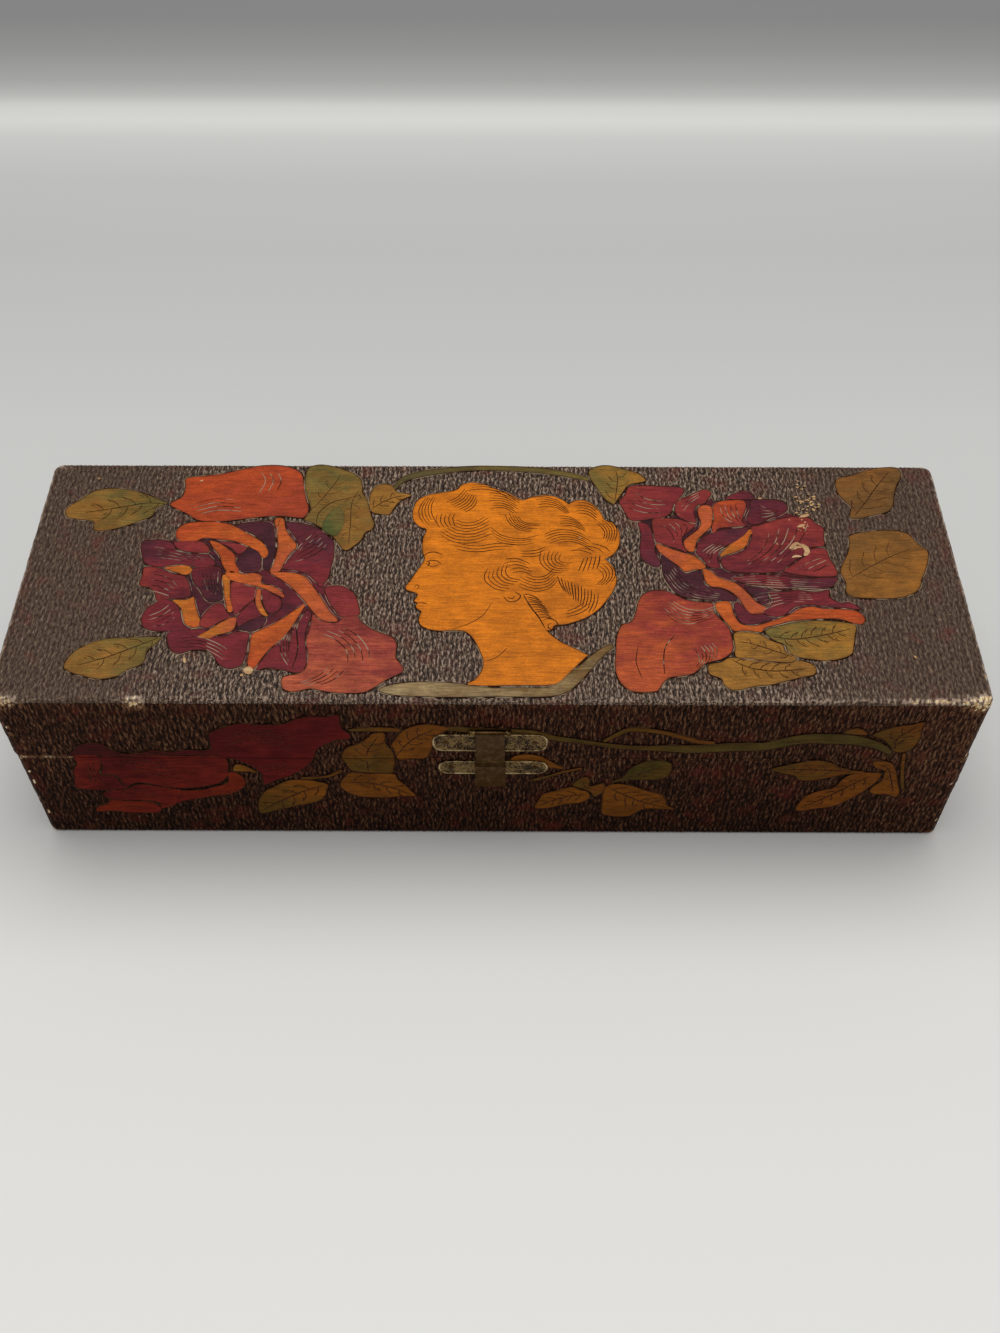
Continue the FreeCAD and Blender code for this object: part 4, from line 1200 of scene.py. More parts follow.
# %% Head
HEAD = [-20.6, 66.4, -21.5, 62.5, -21.5, 57.5, -20.7, 54.4, -21.4, 52, -22.9, 48.8, -24.6, 45.2, -26, 42.6,
    -25.5, 41.2, -23.2, 40.4, -22.2, 39.4, -22.8, 37.9, -23.1, 36.9, -22, 36.1, -22, 36.1, -22.6, 35,
    -22.1, 33.9, -20.9, 32.8, -21.3, 31.2, -21.5, 29.2, -20.6, 27.3, -18.4, 26, -15, 25.4, -11, 25.6,
    -7.6, 25, -5.4, 22.6, -3.6, 18.6, -2.4, 14.6, -2.6, 11, -4.4, 7.6, -6.6, 5.8, -3, 5.2, 2, 5.2, 9, 5.4,
    16, 5.4, 19.4, 6.4, 22.6, 10.2, 27.8, 16.4, 27.8, 16.4, 24.4, 18.8, 21, 20.8, 18, 23.4, 15.4, 26.4,
    15.4, 26.4, 17.4, 25.7, 18.6, 27.6, 21.6, 28, 25, 29.2, 28.4, 31, 31.8, 34, 34.4, 37.8, 36.6, 41.8,
    37.6, 46, 37, 50, 35.4, 53, 34.2, 54.4, 34.2, 54.4, 37, 56, 39, 60, 39.4, 65.6, 37.6, 69.4, 35, 71,
    34, 74, 32.2, 77, 29.6, 79.2, 26.4, 79.4, 24, 77.8, 24, 77.8, 21.4, 80.2, 17.8, 81.6, 13, 81.2, 9.2, 79.6,
    5, 82.6, 1, 84.4, -3, 86.6, -7, 87.4, -10, 86.2, -11.8, 84, -16, 82.8, -20.4, 81.8, -24, 79, -25.2, 74,
    -24.6, 70, -22.4, 67.4]
drawing("head", [(AMBER, DEEP_AMBER, -60, HEAD)], on_top, "lid")


# %% [markdown]
# The hair is only lines on the amber. Each family of strands is one wave or curl, and where two waves
# meet the wood is left plain, so the head doesn't grow dark.

# %% Hair
HAIR_STRANDS = [
    (1, 5, [-21.4, 80, -23.2, 75.4, -22.6, 71, -20, 67.6], [-18, 81.4, -19.4, 76.8, -19, 72.8, -17.4, 69]),
    (2, 5, [-17.4, 73.6, -17.6, 69.4, -15.6, 66.4], [-11.8, 73.4, -12.6, 70.6, -11.6, 68]),
    (3, 8, [-15, 78.4, -11.4, 80.6, -8.6, 85], [-8.8, 74, -6, 76.4, -4.6, 81]),
    (4, 8, [-1, 84, 4, 82.6, 8.6, 79], [-1.4, 75.6, 3.4, 76, 7.6, 72.8]),
    (5, 6, [3.6, 74.4, 5.2, 69.4, 9.4, 66, 14.4, 65.6], [7.6, 73, 9, 70.4, 11.6, 69, 14.8, 69]),
    (6, 8, [-17.4, 65.4, -12.4, 61.4, -6, 60.8, 0.6, 63.6], [-12, 71, -8.8, 69.4, -5, 70, -1.6, 73]),
    (7, 4, [-1, 68, 3, 64, 9, 62.6, 14, 64], [0.6, 62, 4, 60.4, 9, 60, 13, 61]),
    (8, 5, [11.6, 80.6, 16, 81, 21, 79, 24, 75.6], [14, 76, 17.6, 76.8, 21.4, 75.2, 24.2, 72]),
    (9, 5, [19.4, 72.4, 23.6, 72.2, 28, 69], [21, 68, 25, 68.2, 29.4, 65.4]),
    (10, 5, [26, 78.4, 30.2, 78, 33.2, 74.6], [26.2, 73.6, 29.8, 73.4, 32.4, 70.6]),
    (11, 6, [35, 72, 38, 69, 38.6, 65, 37.2, 60.4], [32.6, 69, 34.4, 66.8, 34.8, 64.2, 33.8, 61.4]),
    (12, 6, [15.6, 64.2, 20, 66.4, 25.6, 65.8, 30.4, 62.4], [18, 59.8, 22, 61.4, 26.4, 60.8, 31, 57.4]),
    (13, 6, [15, 58, 14.6, 53, 17.6, 49, 22.6, 48.4], [21.6, 57, 20.2, 54.6, 21.4, 52.6, 24.6, 52.6]),
    (14, 6, [-1.4, 50, -2.4, 45.8, 0.8, 42, 5.4, 40.8], [4.8, 52, 4, 48.6, 5.6, 46.2, 8.4, 45.6]),
    (15, 5, [2.6, 53.4, 6.8, 54.4, 11.6, 52], [5.6, 48.2, 8.8, 49, 12, 47.6]),
    (16, 6, [7.4, 43.4, 12, 41, 17, 42, 20.4, 46.4], [9.4, 48.6, 12.6, 46.8, 16.2, 47.2, 18.6, 50.2]),
    (17, 13, [19.8, 47, 20.6, 43.6, 22, 40.6], [31.8, 40.6, 31.2, 36, 29.2, 31.8], 0.32),
    (18, 5, [28, 54.4, 27, 51.4, 26, 48.6], [33, 56.4, 32.6, 53, 31.6, 49.6], 0.32),
    (19, 5, [35, 54, 37.2, 51, 37, 46.6, 34.4, 43], [31.6, 50.4, 33.4, 48.4, 33.4, 46, 31.4, 43.6]),
    (20, 10, [9.2, 39.8, 12, 39.2, 14.8, 37.2], [13.8, 30.6, 15.6, 31, 18.2, 29.8], 0.32),
    (21, 3, [22, 31, 26, 32.2, 29.6, 35.4], [21.6, 33, 24.6, 34.2, 27.4, 36.6]),
    (22, 3, [-10, 85.4, -4, 86.6, 2, 85.2, 8.4, 80.4], [-9.4, 83.4, -4, 84.4, 1.4, 83.2, 6, 79]),
    (23, 3, [-13.6, 59, -6, 57, 2, 58, 8.6, 58.6], [-12, 61, -5, 59.4, 1.6, 60.6, 8.2, 60]),
    (25, 4, [30.6, 60.6, 34.6, 59.2, 36.4, 56], [24, 57.6, 27.4, 57.8, 30.6, 56]),
    (27, 3, [8.4, 57.4, 13, 57.6, 17.2, 59.6], [8.8, 55.2, 12.6, 55, 15, 56]),
]
HAIR_SINGLE = [
    (0.34, [15, 29.4, 16.6, 30.2, 18.8, 29.4, 19.4, 27.4, 18.2, 25.9, 16.8, 26.4, 16.6, 27.8, 17.6, 28.3]),
    (0.42, [9.4, 39.6, 11.4, 35, 14, 30.4, 15.6, 26.6]),
    (0.36, [3.4, 39, 5, 36.8, 7.4, 37.2, 8.6, 39.2, 6.8, 40.6]), (0.28, [4.6, 38.6, 6, 38, 7, 39]),
]
burned_lines("hair_lines", strands(HAIR_STRANDS) + singles(HAIR_SINGLE), on_top, "lid")


# %% [markdown]
# A few fine lines give the face its calm look: brow, lids, nostril, lips, jaw and neck.

# %% Lines of the face
FACE_LINES = [
    (0.34, [-20.9, 55.2, -19.6, 56.6, -17.4, 56.8, -15, 55.6]),
    (0.32, [-20.2, 52.6, -18.8, 53.4, -17, 53.2, -15.4, 51.8]),
    (0.24, [-20.2, 52.4, -19.4, 51.2, -17.8, 50.9, -16, 51.6]),
    (0.42, [-19.5, 52.9, -19.1, 52.2, -19.4, 51.4]),
    (0.26, [-23.4, 42.6, -22.4, 43.4, -21.9, 42.5, -22.6, 41.6]),
    (0.3, [-22, 36.1, -20.6, 36.2, -19.2, 35.7]), (0.22, [-21.6, 33.2, -20.6, 32.9]),
    (0.22, [-11.6, 26, -7, 28, -2.6, 31.4, -0.2, 36]), (0.22, [-1.6, 14, 1.6, 15.6, 4.6, 19]),
]
burned_lines("face_lines", singles(FACE_LINES), on_top, "lid")


# %% [markdown]
# Leaves have dark veins. In the petals the shading lines are scratched finer and catch the light, so
# they have the finish of a groove's lit side.

# %% Lines in the lid's petals and leaves
LEAF_VEINS = [
    (1, 5.6, 4, [-103.6, 77.4, -110, 77.6, -118, 75.6, -128, 73.4]),
    (2, 4.8, 4, [-97, 22.3, -104, 18.6, -111, 15, -119, 12]),
    (3, 4.4, 3, [-57.6, 74, -54, 80, -51, 86, -49, 91]),
    (4, 3.6, 4, [-42.6, 84, -44.6, 78, -44.4, 69, -44.4, 60]),
    (5, 3, 3, [-38, 75.4, -34.6, 78.6, -31, 80.6, -28, 81.2]),
    (6, 4.4, 3, [38.6, 79, 39.4, 84, 40, 89, 39.6, 93]),
    (7, 4.2, 6, [82, 23.6, 88, 22.6, 97, 24.2, 105, 26.6]),
    (8, 2.8, 3, [86.6, 16, 80, 19, 75, 21, 71.6, 21.6]), (9, 3.6, 5, [69, 15, 74, 12, 81, 10.8, 90, 11.6]),
    (10, 5.4, 4, [113.6, 73, 118, 79, 122.6, 86, 127.6, 92.6]),
    (11, 7.4, 4, [107.6, 46, 114, 50.6, 121, 55, 129, 59]),
]
LEAF_SINGLE = [
    (0.4, [-41.6, 81.6, -46, 80, -51, 78, -54.6, 73.6, -55, 68.6]),
]
burned_lines("lid_leaf_lines", veins(LEAF_VEINS) + singles(LEAF_SINGLE), on_top, "lid")
ROSE_STRANDS = [
    (31, 4, [-104, 58.6, -98, 57.4, -92, 55.4, -88, 54], [-103.6, 54.4, -98, 53.6, -93, 52.6, -89, 51.4]),
    (32, 4, [-103.6, 47.6, -98, 46, -94.6, 42.6], [-101.6, 40.6, -98.6, 39.6, -96, 38.4]),
    (33, 4, [-101.6, 30.6, -98, 32.6, -95.6, 35.4], [-100, 26.6, -96, 27.6, -93.2, 30.8]),
    (34, 4, [-91.6, 22, -86, 22.8, -80, 20.6, -75, 17], [-90, 18.6, -85, 19, -80, 16.6, -76, 13.4]),
    (35, 5, [-88, 48.8, -86.4, 44, -84.6, 39.6], [-83, 49, -82.6, 44, -81.8, 39]),
    (36, 5, [-57, 29, -58.6, 23, -58, 17], [-61.6, 21.6, -60.4, 16, -58, 12]),
    (37, 5, [-50.6, 61, -53, 57, -57, 54, -61, 52.4], [-55, 65.4, -57.4, 62, -59, 60, -60, 57]),
    (38, 4, [-50.6, 24.6, -46, 22.4, -42, 18, -41, 12], [-44, 26.6, -39.6, 24, -36, 19, -34.6, 14]),
    (39, 4, [-56, 5.6, -50, 8, -46, 12], [-50, 4.6, -45, 7, -42, 10.6]),
    (40, 4, [-96, 76.6, -88, 79.6, -79, 78.6], [-92, 73, -86, 74.6, -79, 74]),
    (41, 3, [-75.4, 92.6, -73, 88, -74.6, 82], [-70, 92.4, -68, 88, -69, 83]),
    (42, 6, [50.6, 33.6, 54, 29.4, 59, 28.4, 66, 31], [53, 38, 57, 34.6, 62, 33.6, 67, 35.4]),
    (43, 5, [52.4, 48, 56, 41.4, 62, 38.4, 70, 37.8], [54.6, 52, 58, 45.6, 63, 42, 69, 40.6]),
    (44, 6, [72, 47.4, 80, 48, 90, 46.8, 101, 46.4], [76, 43.8, 82, 43, 90, 42.6, 99, 42]),
    (45, 5, [77, 39.6, 82, 40.6, 88, 41, 95, 40.6], [80, 33.4, 84, 35.6, 89, 37, 96, 37]),
    (46, 4, [44, 84, 49, 80, 55, 79], [43, 76, 48, 74, 54, 74.4]),
    (47, 3, [60, 74.6, 62, 78, 66, 81.6], [59, 79, 62, 81, 66, 83.4]),
    (48, 4, [71.6, 77, 72.6, 72, 75.6, 69.4], [76.6, 78.4, 77, 73.6, 78, 70.6]),
    (49, 4, [83, 78, 87, 76, 91, 76], [83, 72, 86.6, 72.6, 90, 74.4]),
    (50, 5, [86, 52, 91, 57, 95.6, 63, 98.6, 70], [75, 52, 80, 55, 84, 60, 86, 66]),
    (51, 3, [92, 49.6, 96.6, 53, 101, 55], [96, 48.6, 100, 50.6, 103, 53]),
    (52, 6, [58, 11, 60, 15, 58.6, 19], [64, 14.6, 65.4, 18, 64, 21]),
    (53, 4, [64, 57, 67, 59.6, 71.6, 63], [66, 52.6, 68, 57, 73, 60.6]),
    (54, 4, [53, 69, 55.6, 65, 56, 61.4], [59, 70, 60.6, 67.4, 59, 64]),
]
ROSE_SINGLE = [
    (0.34, [49.5, 9.4, 49.6, 15, 50.6, 20, 53.6, 24]), (0.26, [43, 8, 41.6, 14, 42.6, 20]),
    (0.3, [-66.6, 70.6, -67, 64, -66.4, 56, -67, 50]), (0.4, [-54.6, 34, -57, 27, -56, 18, -57, 11]),
]
rose_lines = strands(ROSE_STRANDS) + singles(ROSE_SINGLE)
burned_lines("rose_lines", rose_lines, on_top, "lid", material=lit_line_top)


# %% [markdown]
# The spray of roses and leaves on the front runs over the saw cut. It was drawn on the closed box and
# cut with it, so each half is the same drawing cut off at the seam. Its first seven shapes are the two
# roses at the left, then come the leaves, and last the stems.

# %% Spray on the front
FRONT_SPRAY = [
    (RED, DARK_CRIMSON, -30, [-123.5, 43.2, -117, 43, -116.8, 38, -118.5, 34.2, -118, 32.5, -114.5, 32.3,
     -113.4, 30, -112.8, 27.2, -111.4, 25.9, -113.4, 24.9, -118, 24.5, -123, 24.5, -127, 25.5, -127.5, 27,
     -126.5, 31, -126, 35, -124, 38.5]),
    (DARK_CRIMSON, RED, -20, [-116, 42.6, -110, 42.3, -100, 43.2, -90, 43, -80, 42.6, -78.7, 40, -79.2, 35,
     -80.2, 31.7, -83, 28.7, -88, 26.6, -94, 25.6, -100, 26.3, -105, 28.3, -108, 28.6, -110, 27.5,
     -111.4, 26.4, -112.6, 28, -112.8, 30.6, -114.2, 32.8, -117.7, 33.4, -116.6, 37]),
    (DARK_CRIMSON, RED, -40, [-112.7, 25, -110.7, 26, -108, 27.7, -104, 27.2, -98, 25.5, -95.3, 24.7,
     -96, 22.5, -97, 20, -98.5, 16.5, -101, 15, -103.3, 14.4, -103.3, 17.2, -106, 18.6, -113, 18.8,
     -118, 19.5, -120, 21.5, -118.5, 23.8]),
    ("8E3A22", RED, 0, [-118, 18.8, -113, 18.3, -107, 18, -104.7, 16.6, -103.4, 14, -105, 11.8, -110, 11.5,
     -115, 11.8, -119, 12.5, -124, 12.3, -123, 15, -120, 16.5]),
    (CRIMSON, "8E3A22", 20, [-97, 24.2, -90, 24.7, -84, 26.7, -80.2, 29.2, -79.8, 33, -79, 34.6, -77, 34.2,
     -75, 31, -75.3, 27.5, -77.5, 24.5, -82, 22, -87, 21, -91, 19.8, -95, 18.8, -97.7, 17.4, -97, 20.6,
     -95.8, 23]),
    (PLUM, DARK_CRIMSON, 0, [-125, 42.8, -123, 46, -120, 48.8, -116, 49.6, -113.5, 48, -112, 45.5, -108, 43.8,
     -104, 44.3, -100, 45.8, -95, 45, -90, 46, -85, 45.8, -80.4, 46.8, -79.6, 43.4, -90, 43.3, -100, 43.5,
     -110, 42.6, -116, 43, -121, 43.4]),
    (DARK_CRIMSON, CRIMSON, -60, [-82, 45.4, -82, 54, -80, 56, -76, 58, -72, 59.3, -66, 58.8, -60, 59.2,
     -56, 61.5, -52, 62.8, -47, 62.8, -43.5, 63.5, -43.3, 58, -42, 55.5, -41, 54.5, -41.3, 52, -45, 51.5,
     -48, 49.5, -51, 47, -52.5, 43, -54, 39.5, -57, 36, -61, 32.5, -65, 30.5, -69, 27.7, -69.5, 30, -69.5, 34,
     -72, 37.7, -76, 41.2, -79.6, 42]),
    ("A07A36", OCHRE, 0, [-77.7, 35.3, -76.5, 38.5, -74, 38, -72, 36, -71.1, 34.3, -73, 34.8, -75, 34.8]),
    (OLIVE, GOLD, 45, [-73, 12, -72.5, 18, -70, 23.5, -66, 27, -62, 30, -58, 30.5, -54, 29.8, -50, 28,
     -50.5, 25, -51.5, 21.5, -54, 18.5, -58, 16.8, -63, 15, -68, 13, -71.5, 11.5]),
    (OLIVE, OCHRE, 90, [-44, 44.5, -42.5, 47.5, -39, 49.5, -36, 52.5, -34.5, 54.6, -31, 55, -31, 50,
     -29.2, 46, -28.7, 41, -29.4, 36.7, -29.7, 34.6, -35, 34.4, -40, 35, -42.5, 36.2, -43.5, 39.5,
     -44.5, 42]),
    (OCHRE, GOLD, -30, [-42, 34.6, -37, 33.9, -29.5, 33.8, -28.5, 31, -26.5, 28, -25, 25, -23.5, 21.8,
     -28, 21.5, -33, 20.8, -39, 21, -43, 22.5, -46, 26, -46, 29, -44.5, 32]),
    (GOLD, OCHRE, 70, [-29.4, 48.4, -27.6, 52.6, -25, 56.6, -20.6, 59, -16, 59, -12.4, 57.4, -15, 54.4,
     -17, 50.6, -17.8, 46, -19.6, 42.4, -24, 41.8, -27.6, 41.6, -28.4, 44.6]),
    (GOLD, OCHRE, -30, [6, 41, 7, 43.5, 11, 44.3, 15, 43, 19, 39.5, 21.5, 37, 17.5, 37.3, 14, 38]),
    (OCHRE, GOLD, 30, [13.5, 15, 14.5, 19.5, 16, 23, 20, 25, 24.4, 27, 27.3, 25.3, 29.5, 24.3, 30.3, 21,
     27.5, 18.3, 22, 17, 18, 15.3]),
    (OLIVE, OCHRE, 20, [24.7, 27.8, 26, 30.5, 28.5, 32.5, 30, 30.5, 29.8, 27.3, 33.5, 28.7, 34.8, 27.5,
     34, 24, 31.7, 21.7, 30.2, 24.3, 28, 25.8]),
    (GOLD, OCHRE, -60, [34.7, 26.5, 36, 28, 39, 28.8, 43, 27.5, 46, 26, 49.5, 24, 52.5, 22.5, 54, 19.5,
     54.5, 17, 57, 14.5, 52, 14.8, 48, 14.8, 45.5, 13, 43.5, 10.8, 40, 10.2, 36, 11, 34.5, 12.5, 34.3, 17,
     34.2, 22]),
    (DARK_OLIVE, OLIVE, -40, [37, 30, 40, 33, 41, 36, 43, 38.8, 46.5, 40.8, 50.5, 41.3, 53.5, 40, 54, 37,
     53.5, 34, 51.5, 31.5, 47, 31, 43, 31.2]),
    (OLIVE, OCHRE, 40, [110.5, 54.5, 113, 57, 117, 59, 121, 60, 124, 61, 124, 57.5, 124.5, 53, 123.5, 48,
     121, 46, 118.5, 46.5, 116, 50, 114, 52.5]),
    (OLIVE, OCHRE, -20, [84, 37, 88, 39, 92, 40.5, 96, 41.6, 100, 41, 104, 38.5, 108, 36.5, 112, 35.7,
     106, 34.2, 101, 32.2, 97, 31, 93, 31.2, 91.5, 33.5, 87, 35]),
    ("946026", OCHRE, 60, [95, 14.5, 95.5, 19, 97.5, 23, 101, 25.5, 104.5, 27, 106, 31, 108, 34, 111, 35.3,
     115, 35.3, 117.3, 34.8, 117, 31, 115, 27, 112.5, 23, 109.5, 19.5, 106, 16.5, 101, 15.2, 97.5, 14]),
    (OCHRE, GOLD, -60, [113.5, 41, 117, 41.3, 119.5, 40, 121.5, 36, 123, 31, 125, 25, 124.5, 22, 121.5, 23.5,
     118, 23.5, 115.8, 25, 116.2, 27.5, 118, 30.5, 118.3, 33, 117.8, 36.5, 115, 37.8]),
    (OLIVE, OCHRE, 0, stem([-41, 56.2, 0.8, -36, 56.6, 2, -31, 56.6, 2.2, -26.6, 56.2, 1.4])),
    (OLIVE, "5E5C34", 0, stem([-14, 57.2, 1, -10, 57, 2.2, -5, 56.5, 2.2, 5, 56, 2.2, 12, 55.3, 2.2,
     17, 53, 2.4, 25, 51.2, 2, 31, 49.8, 1.9, 38, 48.3, 2, 45, 47.8, 2.2, 52, 47.6, 3.2, 60, 47.3, 4,
     70, 48.3, 4.2, 80, 48.8, 4, 86, 51, 4.4, 92, 52.6, 4.8, 100, 52.6, 5, 106, 52, 4.4, 111, 50.4, 3.4,
     115, 48, 2.6, 117.6, 45.4, 1.6])),
    (OLIVE, OCHRE, 0, stem([33, 51.2, 1.2, 37, 55, 1.8, 39.6, 56.8, 1.8, 44, 56.8, 1.9, 50, 55.5, 1.8,
     55, 53.5, 1.8, 60, 51.2, 1.8, 65, 50.6, 1.2])),
    (OLIVE, OCHRE, 0, [102, 55.6, 103.6, 57.4, 105.5, 58, 107.4, 57, 108.6, 54.8]),
    (OLIVE, OCHRE, 0, stem([-57.6, 31.4, 0.9, -53, 31.6, 1, -49, 32.6, 1, -45, 35.4, 0.9])),
    (OLIVE, OCHRE, 0, stem([12.6, 30.6, 0.9, 17, 32.6, 1, 21, 34.8, 1, 27, 37, 0.9])),
    (OLIVE, OCHRE, 90, stem([121.8, 45.4, 0.9, 122.6, 40, 1, 124, 33, 1, 125.6, 26.6, 0.8])),
]
WALL_PAINTED_SHADE = (0.62, 0.45, 0.3)  # painted shade: the walls get less light than the lid, so their stains are drawn darker and browner
drawing("front_spray_lid", FRONT_SPRAY, on_front, "lid", 1, painted_shade=WALL_PAINTED_SHADE)
drawing("front_spray_base", FRONT_SPRAY, on_front, "base", -1, painted_shade=WALL_PAINTED_SHADE)


# %% [markdown]
# The front's veins are bolder than the lid's, as the photograph shows them, and the roses there have
# only a few curved lines.

# %% Lines on the front
BOLD_VEIN = 0.5
FRONT_VEINS = [
    (21, 5, 4, [-51.6, 27.4, -58, 24, -65, 19, -71.6, 13.6]),
    (22, 4.6, 4, [-37, 34.8, -37, 41, -36.4, 46, -33, 53]),
    (23, 4.2, 4, [-43.6, 29, -38, 29, -31, 26.6, -25, 22.6]),
    (24, 4, 4, [-28, 43.5, -25, 49, -21, 53.6, -16, 57]),
    (25, 3.2, 4, [28.6, 23, 24, 22, 19, 19.4, 14.6, 16.4]),
    (26, 5, 5, [36, 26.5, 41, 22.6, 47, 18.6, 54.6, 15.4]),
    (27, 3.4, 4, [38.6, 31, 44, 34, 49, 37, 52.6, 39]), (28, 3, 4, [109, 35.8, 101, 36.6, 93, 36.8, 86, 37]),
    (29, 3.2, 5, [114, 33.4, 108, 27, 102, 20.6, 96.4, 16]), (30, 3.4, 3, [118.6, 47.4, 118, 53, 122.4, 59]),
    (31, 2, 3, [115.6, 39.4, 118.8, 37.4, 120.8, 32, 123, 25]),
]
FRONT_STRANDS = [
    (61, 4, [-112, 39.6, -107, 40.2, -103, 40, -96, 38.4], [-110, 33, -104, 34, -99, 32, -92, 30], 0.34),
    (62, 3, [-122.6, 38, -121.6, 33, -122.4, 28.6], [-119, 40, -119.6, 35, -118.6, 28], 0.32),
    (63, 3, [-114, 23.6, -108, 24.4, -102, 22], [-114, 20.6, -108, 20.8, -102, 18.6], 0.32),
    (64, 2, [-90, 23, -84, 24.6, -79, 28], [-89, 21, -83, 22.4, -78, 25.6], 0.3),
    (65, 4, [-79, 47.6, -72, 51, -65, 50, -58, 45], [-77, 54, -70, 56, -62, 55, -54, 52], 0.34),
    (66, 4, [-74, 40, -69, 38, -63, 39], [-67, 32, -62, 35, -58, 39], 0.32),
    (67, 3, [-120, 46, -115, 47, -112, 45], [-102, 45, -96, 44.6, -90, 45], 0.28),
    (68, 2, [84, 48.2, 92, 50.4, 100, 50.8], [84, 50, 92, 52, 100, 52.2], 0.3),
]
FRONT_SINGLE = [
    (0.3, [-118, 14.8, -112, 15, -107.6, 14]), (0.3, [7.6, 41.4, 12, 41.4, 17, 39.4]),
    (0.32, [27.6, 30, 29, 26.6, 32.4, 25.6]), (0.3, [58, 48.2, 66, 49.4, 76, 49.6]),
    (0.26, [-12, 57, -8, 56.6, 4, 55.8, 12, 55]), (0.26, [24, 51, 34, 49, 46, 47.9]),
]
front_lines = veins(FRONT_VEINS, BOLD_VEIN) + strands(FRONT_STRANDS) + singles(FRONT_SINGLE)
burned_lines("front_lines_lid", half_lines(front_lines, 1), on_front, "lid")
burned_lines("front_lines_base", half_lines(front_lines, -1), on_front, "base")


# %% [markdown]
# A few knocks went through the stain to bare wood, and a few spots of pale paint or wax lie on the lid.
# They are drawn as short thick lines of bare wood, pressed almost flat. The large ones are placed one
# by one, and crumbs are strewn by chance round them and over the lid.

# %% Knocks and spots
KNOCK_FLATNESS = 0.12


def specks(rows):
    """Crumbs strewn round places, most of them near the middle. A row is a seed, how many, their size,
    the middle and the spread."""
    made = []
    for seed, count, size, middle, spread in rows:
        pick = random.Random(seed)
        for _ in range(count):
            u, v = pick.gauss(middle[0], spread[0]), pick.gauss(middle[1], spread[1])
            reach = size * pick.uniform(0.4, 1.2)
            chip = ([(u, v), (u + reach, v + reach * pick.uniform(-0.5, 0.8))], size * pick.uniform(0.5, 1.0))
            if abs(u) < HALF_LENGTH - 5 and abs(v - HALF_DEPTH) < HALF_DEPTH - 4:  # none at the lid's edges
                made.append(chip)
    return made


KNOCKS = [
    (1.2, [91.4, 58.6, 92.6, 60, 94, 61, 95, 60]), (0.9, [92.6, 58.4, 93.8, 59.4, 95.2, 59.2]),
    (1.7, [95, 60.6, 96.4, 59, 96.6, 57.2, 95.4, 55.8]), (0.8, [91.6, 55, 93, 55.6, 94.6, 55.4]),
    (1.1, [95, 68, 97.4, 69]), (1.2, [96.4, 72.4, 99.4, 73.4]), (0.8, [84, 80.4, 85.4, 80.6]),
    (2.6, [-88.6, 14, -87.8, 14.2]), (3.0, [-70.4, 9.6, -69.4, 10.4, -68.2, 10.9]),
    (1.2, [-71.4, 8.4, -70.8, 9]), (1.1, [26.8, 63, 27.3, 63.1]), (1.1, [87.6, 60.7, 88, 60.8]),
    (1.4, [121.8, 16, 122.4, 16.2]), (0.8, [-94, 87.6, -93, 88]), (0.8, [-127, 88.6, -126.2, 88.8]),
]
CRUMBS = [
    (1, 30, 0.9, (97.4, 79), (1.4, 5.0)),
    (2, 10, 1.1, (100.6, 78), (0.8, 1.6)),
    (3, 40, 0.34, (0, 48), (70, 22)),
    (4, 10, 0.6, (98, 67), (3, 3)),
]
knocks = singles(KNOCKS) + specks(CRUMBS)
burned_lines("knocks", knocks, on_top, "lid", LINE_LEVEL + 0.02, basswood_long, KNOCK_FLATNESS)


# %% [markdown]
# The photograph doesn't show the back and the ends. They carry the same burned ground, with a smaller spray
# of the same leaves and buds, kept clear of the hinges. The two ends share one drawing.

# %% Sprays on the back and ends
BACK_SPRAY = [
    (OLIVE, "7A6E3C", 0, stem([-76, 25, 1.2, -62, 33, 2, -44, 38, 2.4, -24, 38.6, 2.6, -8, 35, 2.6,
     8, 34, 2.6, 26, 37.6, 2.4, 46, 38, 2.2, 62, 33, 2, 76, 25, 1.2])),
    (RED, CRIMSON, -60, [-19, 40, -20, 47, -16, 54, -9, 58.6, -2, 60, 4, 59, 2, 52, -2, 46, -8, 41]),
    (CRIMSON, PLUM, -90, [20, 40, 21, 47, 17, 54, 11, 58, 5, 58.6, 4, 52, 5, 46, 10, 41]),
    (RED_ORANGE, RED, 60, [-7, 40, -1.6, 46, 2.6, 52, 5, 45, 9, 40, 2, 37.6]),
    (GOLD, OLIVE, 60, [-56, 40, -60, 46, -58, 53, -51, 58, -44, 60, -42, 53, -44, 46, -49, 41]),
    (OCHRE, GOLD, -60, [-36, 36.6, -40, 30, -38, 22, -31, 16.6, -24, 18, -24, 26, -28, 33]),
    (GOLD, OCHRE, 60, [52, 40.6, 58, 44, 60, 51, 56, 58, 49, 60.6, 43, 56, 43, 48, 46, 42.6]),
    (OLIVE, GOLD, -60, [32, 36, 28, 30, 29, 22, 36, 17, 43, 19, 43, 27, 38, 33.4]),
    (OCHRE, OLIVE, 0, [-74, 25, -81, 27, -88, 24, -92, 18, -90, 12.6, -83, 12.6, -77, 17]),
    (GOLD, OLIVE, 0, [74, 25, 81, 27, 88, 24, 92, 18, 90, 12.6, 83, 12.6, 77, 17]),
]
BACK_VEINS = [
    (71, 5, 4, [-48, 42.6, -51, 48, -50.6, 53, -47, 58]), (72, 4.4, 4, [-33, 35, -33, 29, -30, 23, -27, 19]),
    (73, 5, 4, [49.6, 43, 51, 48, 50.6, 54, 49, 58.6]),
    (74, 4.4, 4, [33.4, 34.6, 34, 29, 36.6, 23.6, 40, 20]),
    (75, 4.4, 3, [-76, 23.6, -81, 20.6, -85, 17.6, -89.6, 15]),
    (76, 4.4, 3, [76, 23.6, 81, 20.6, 85, 17.6, 89.6, 15]),
]
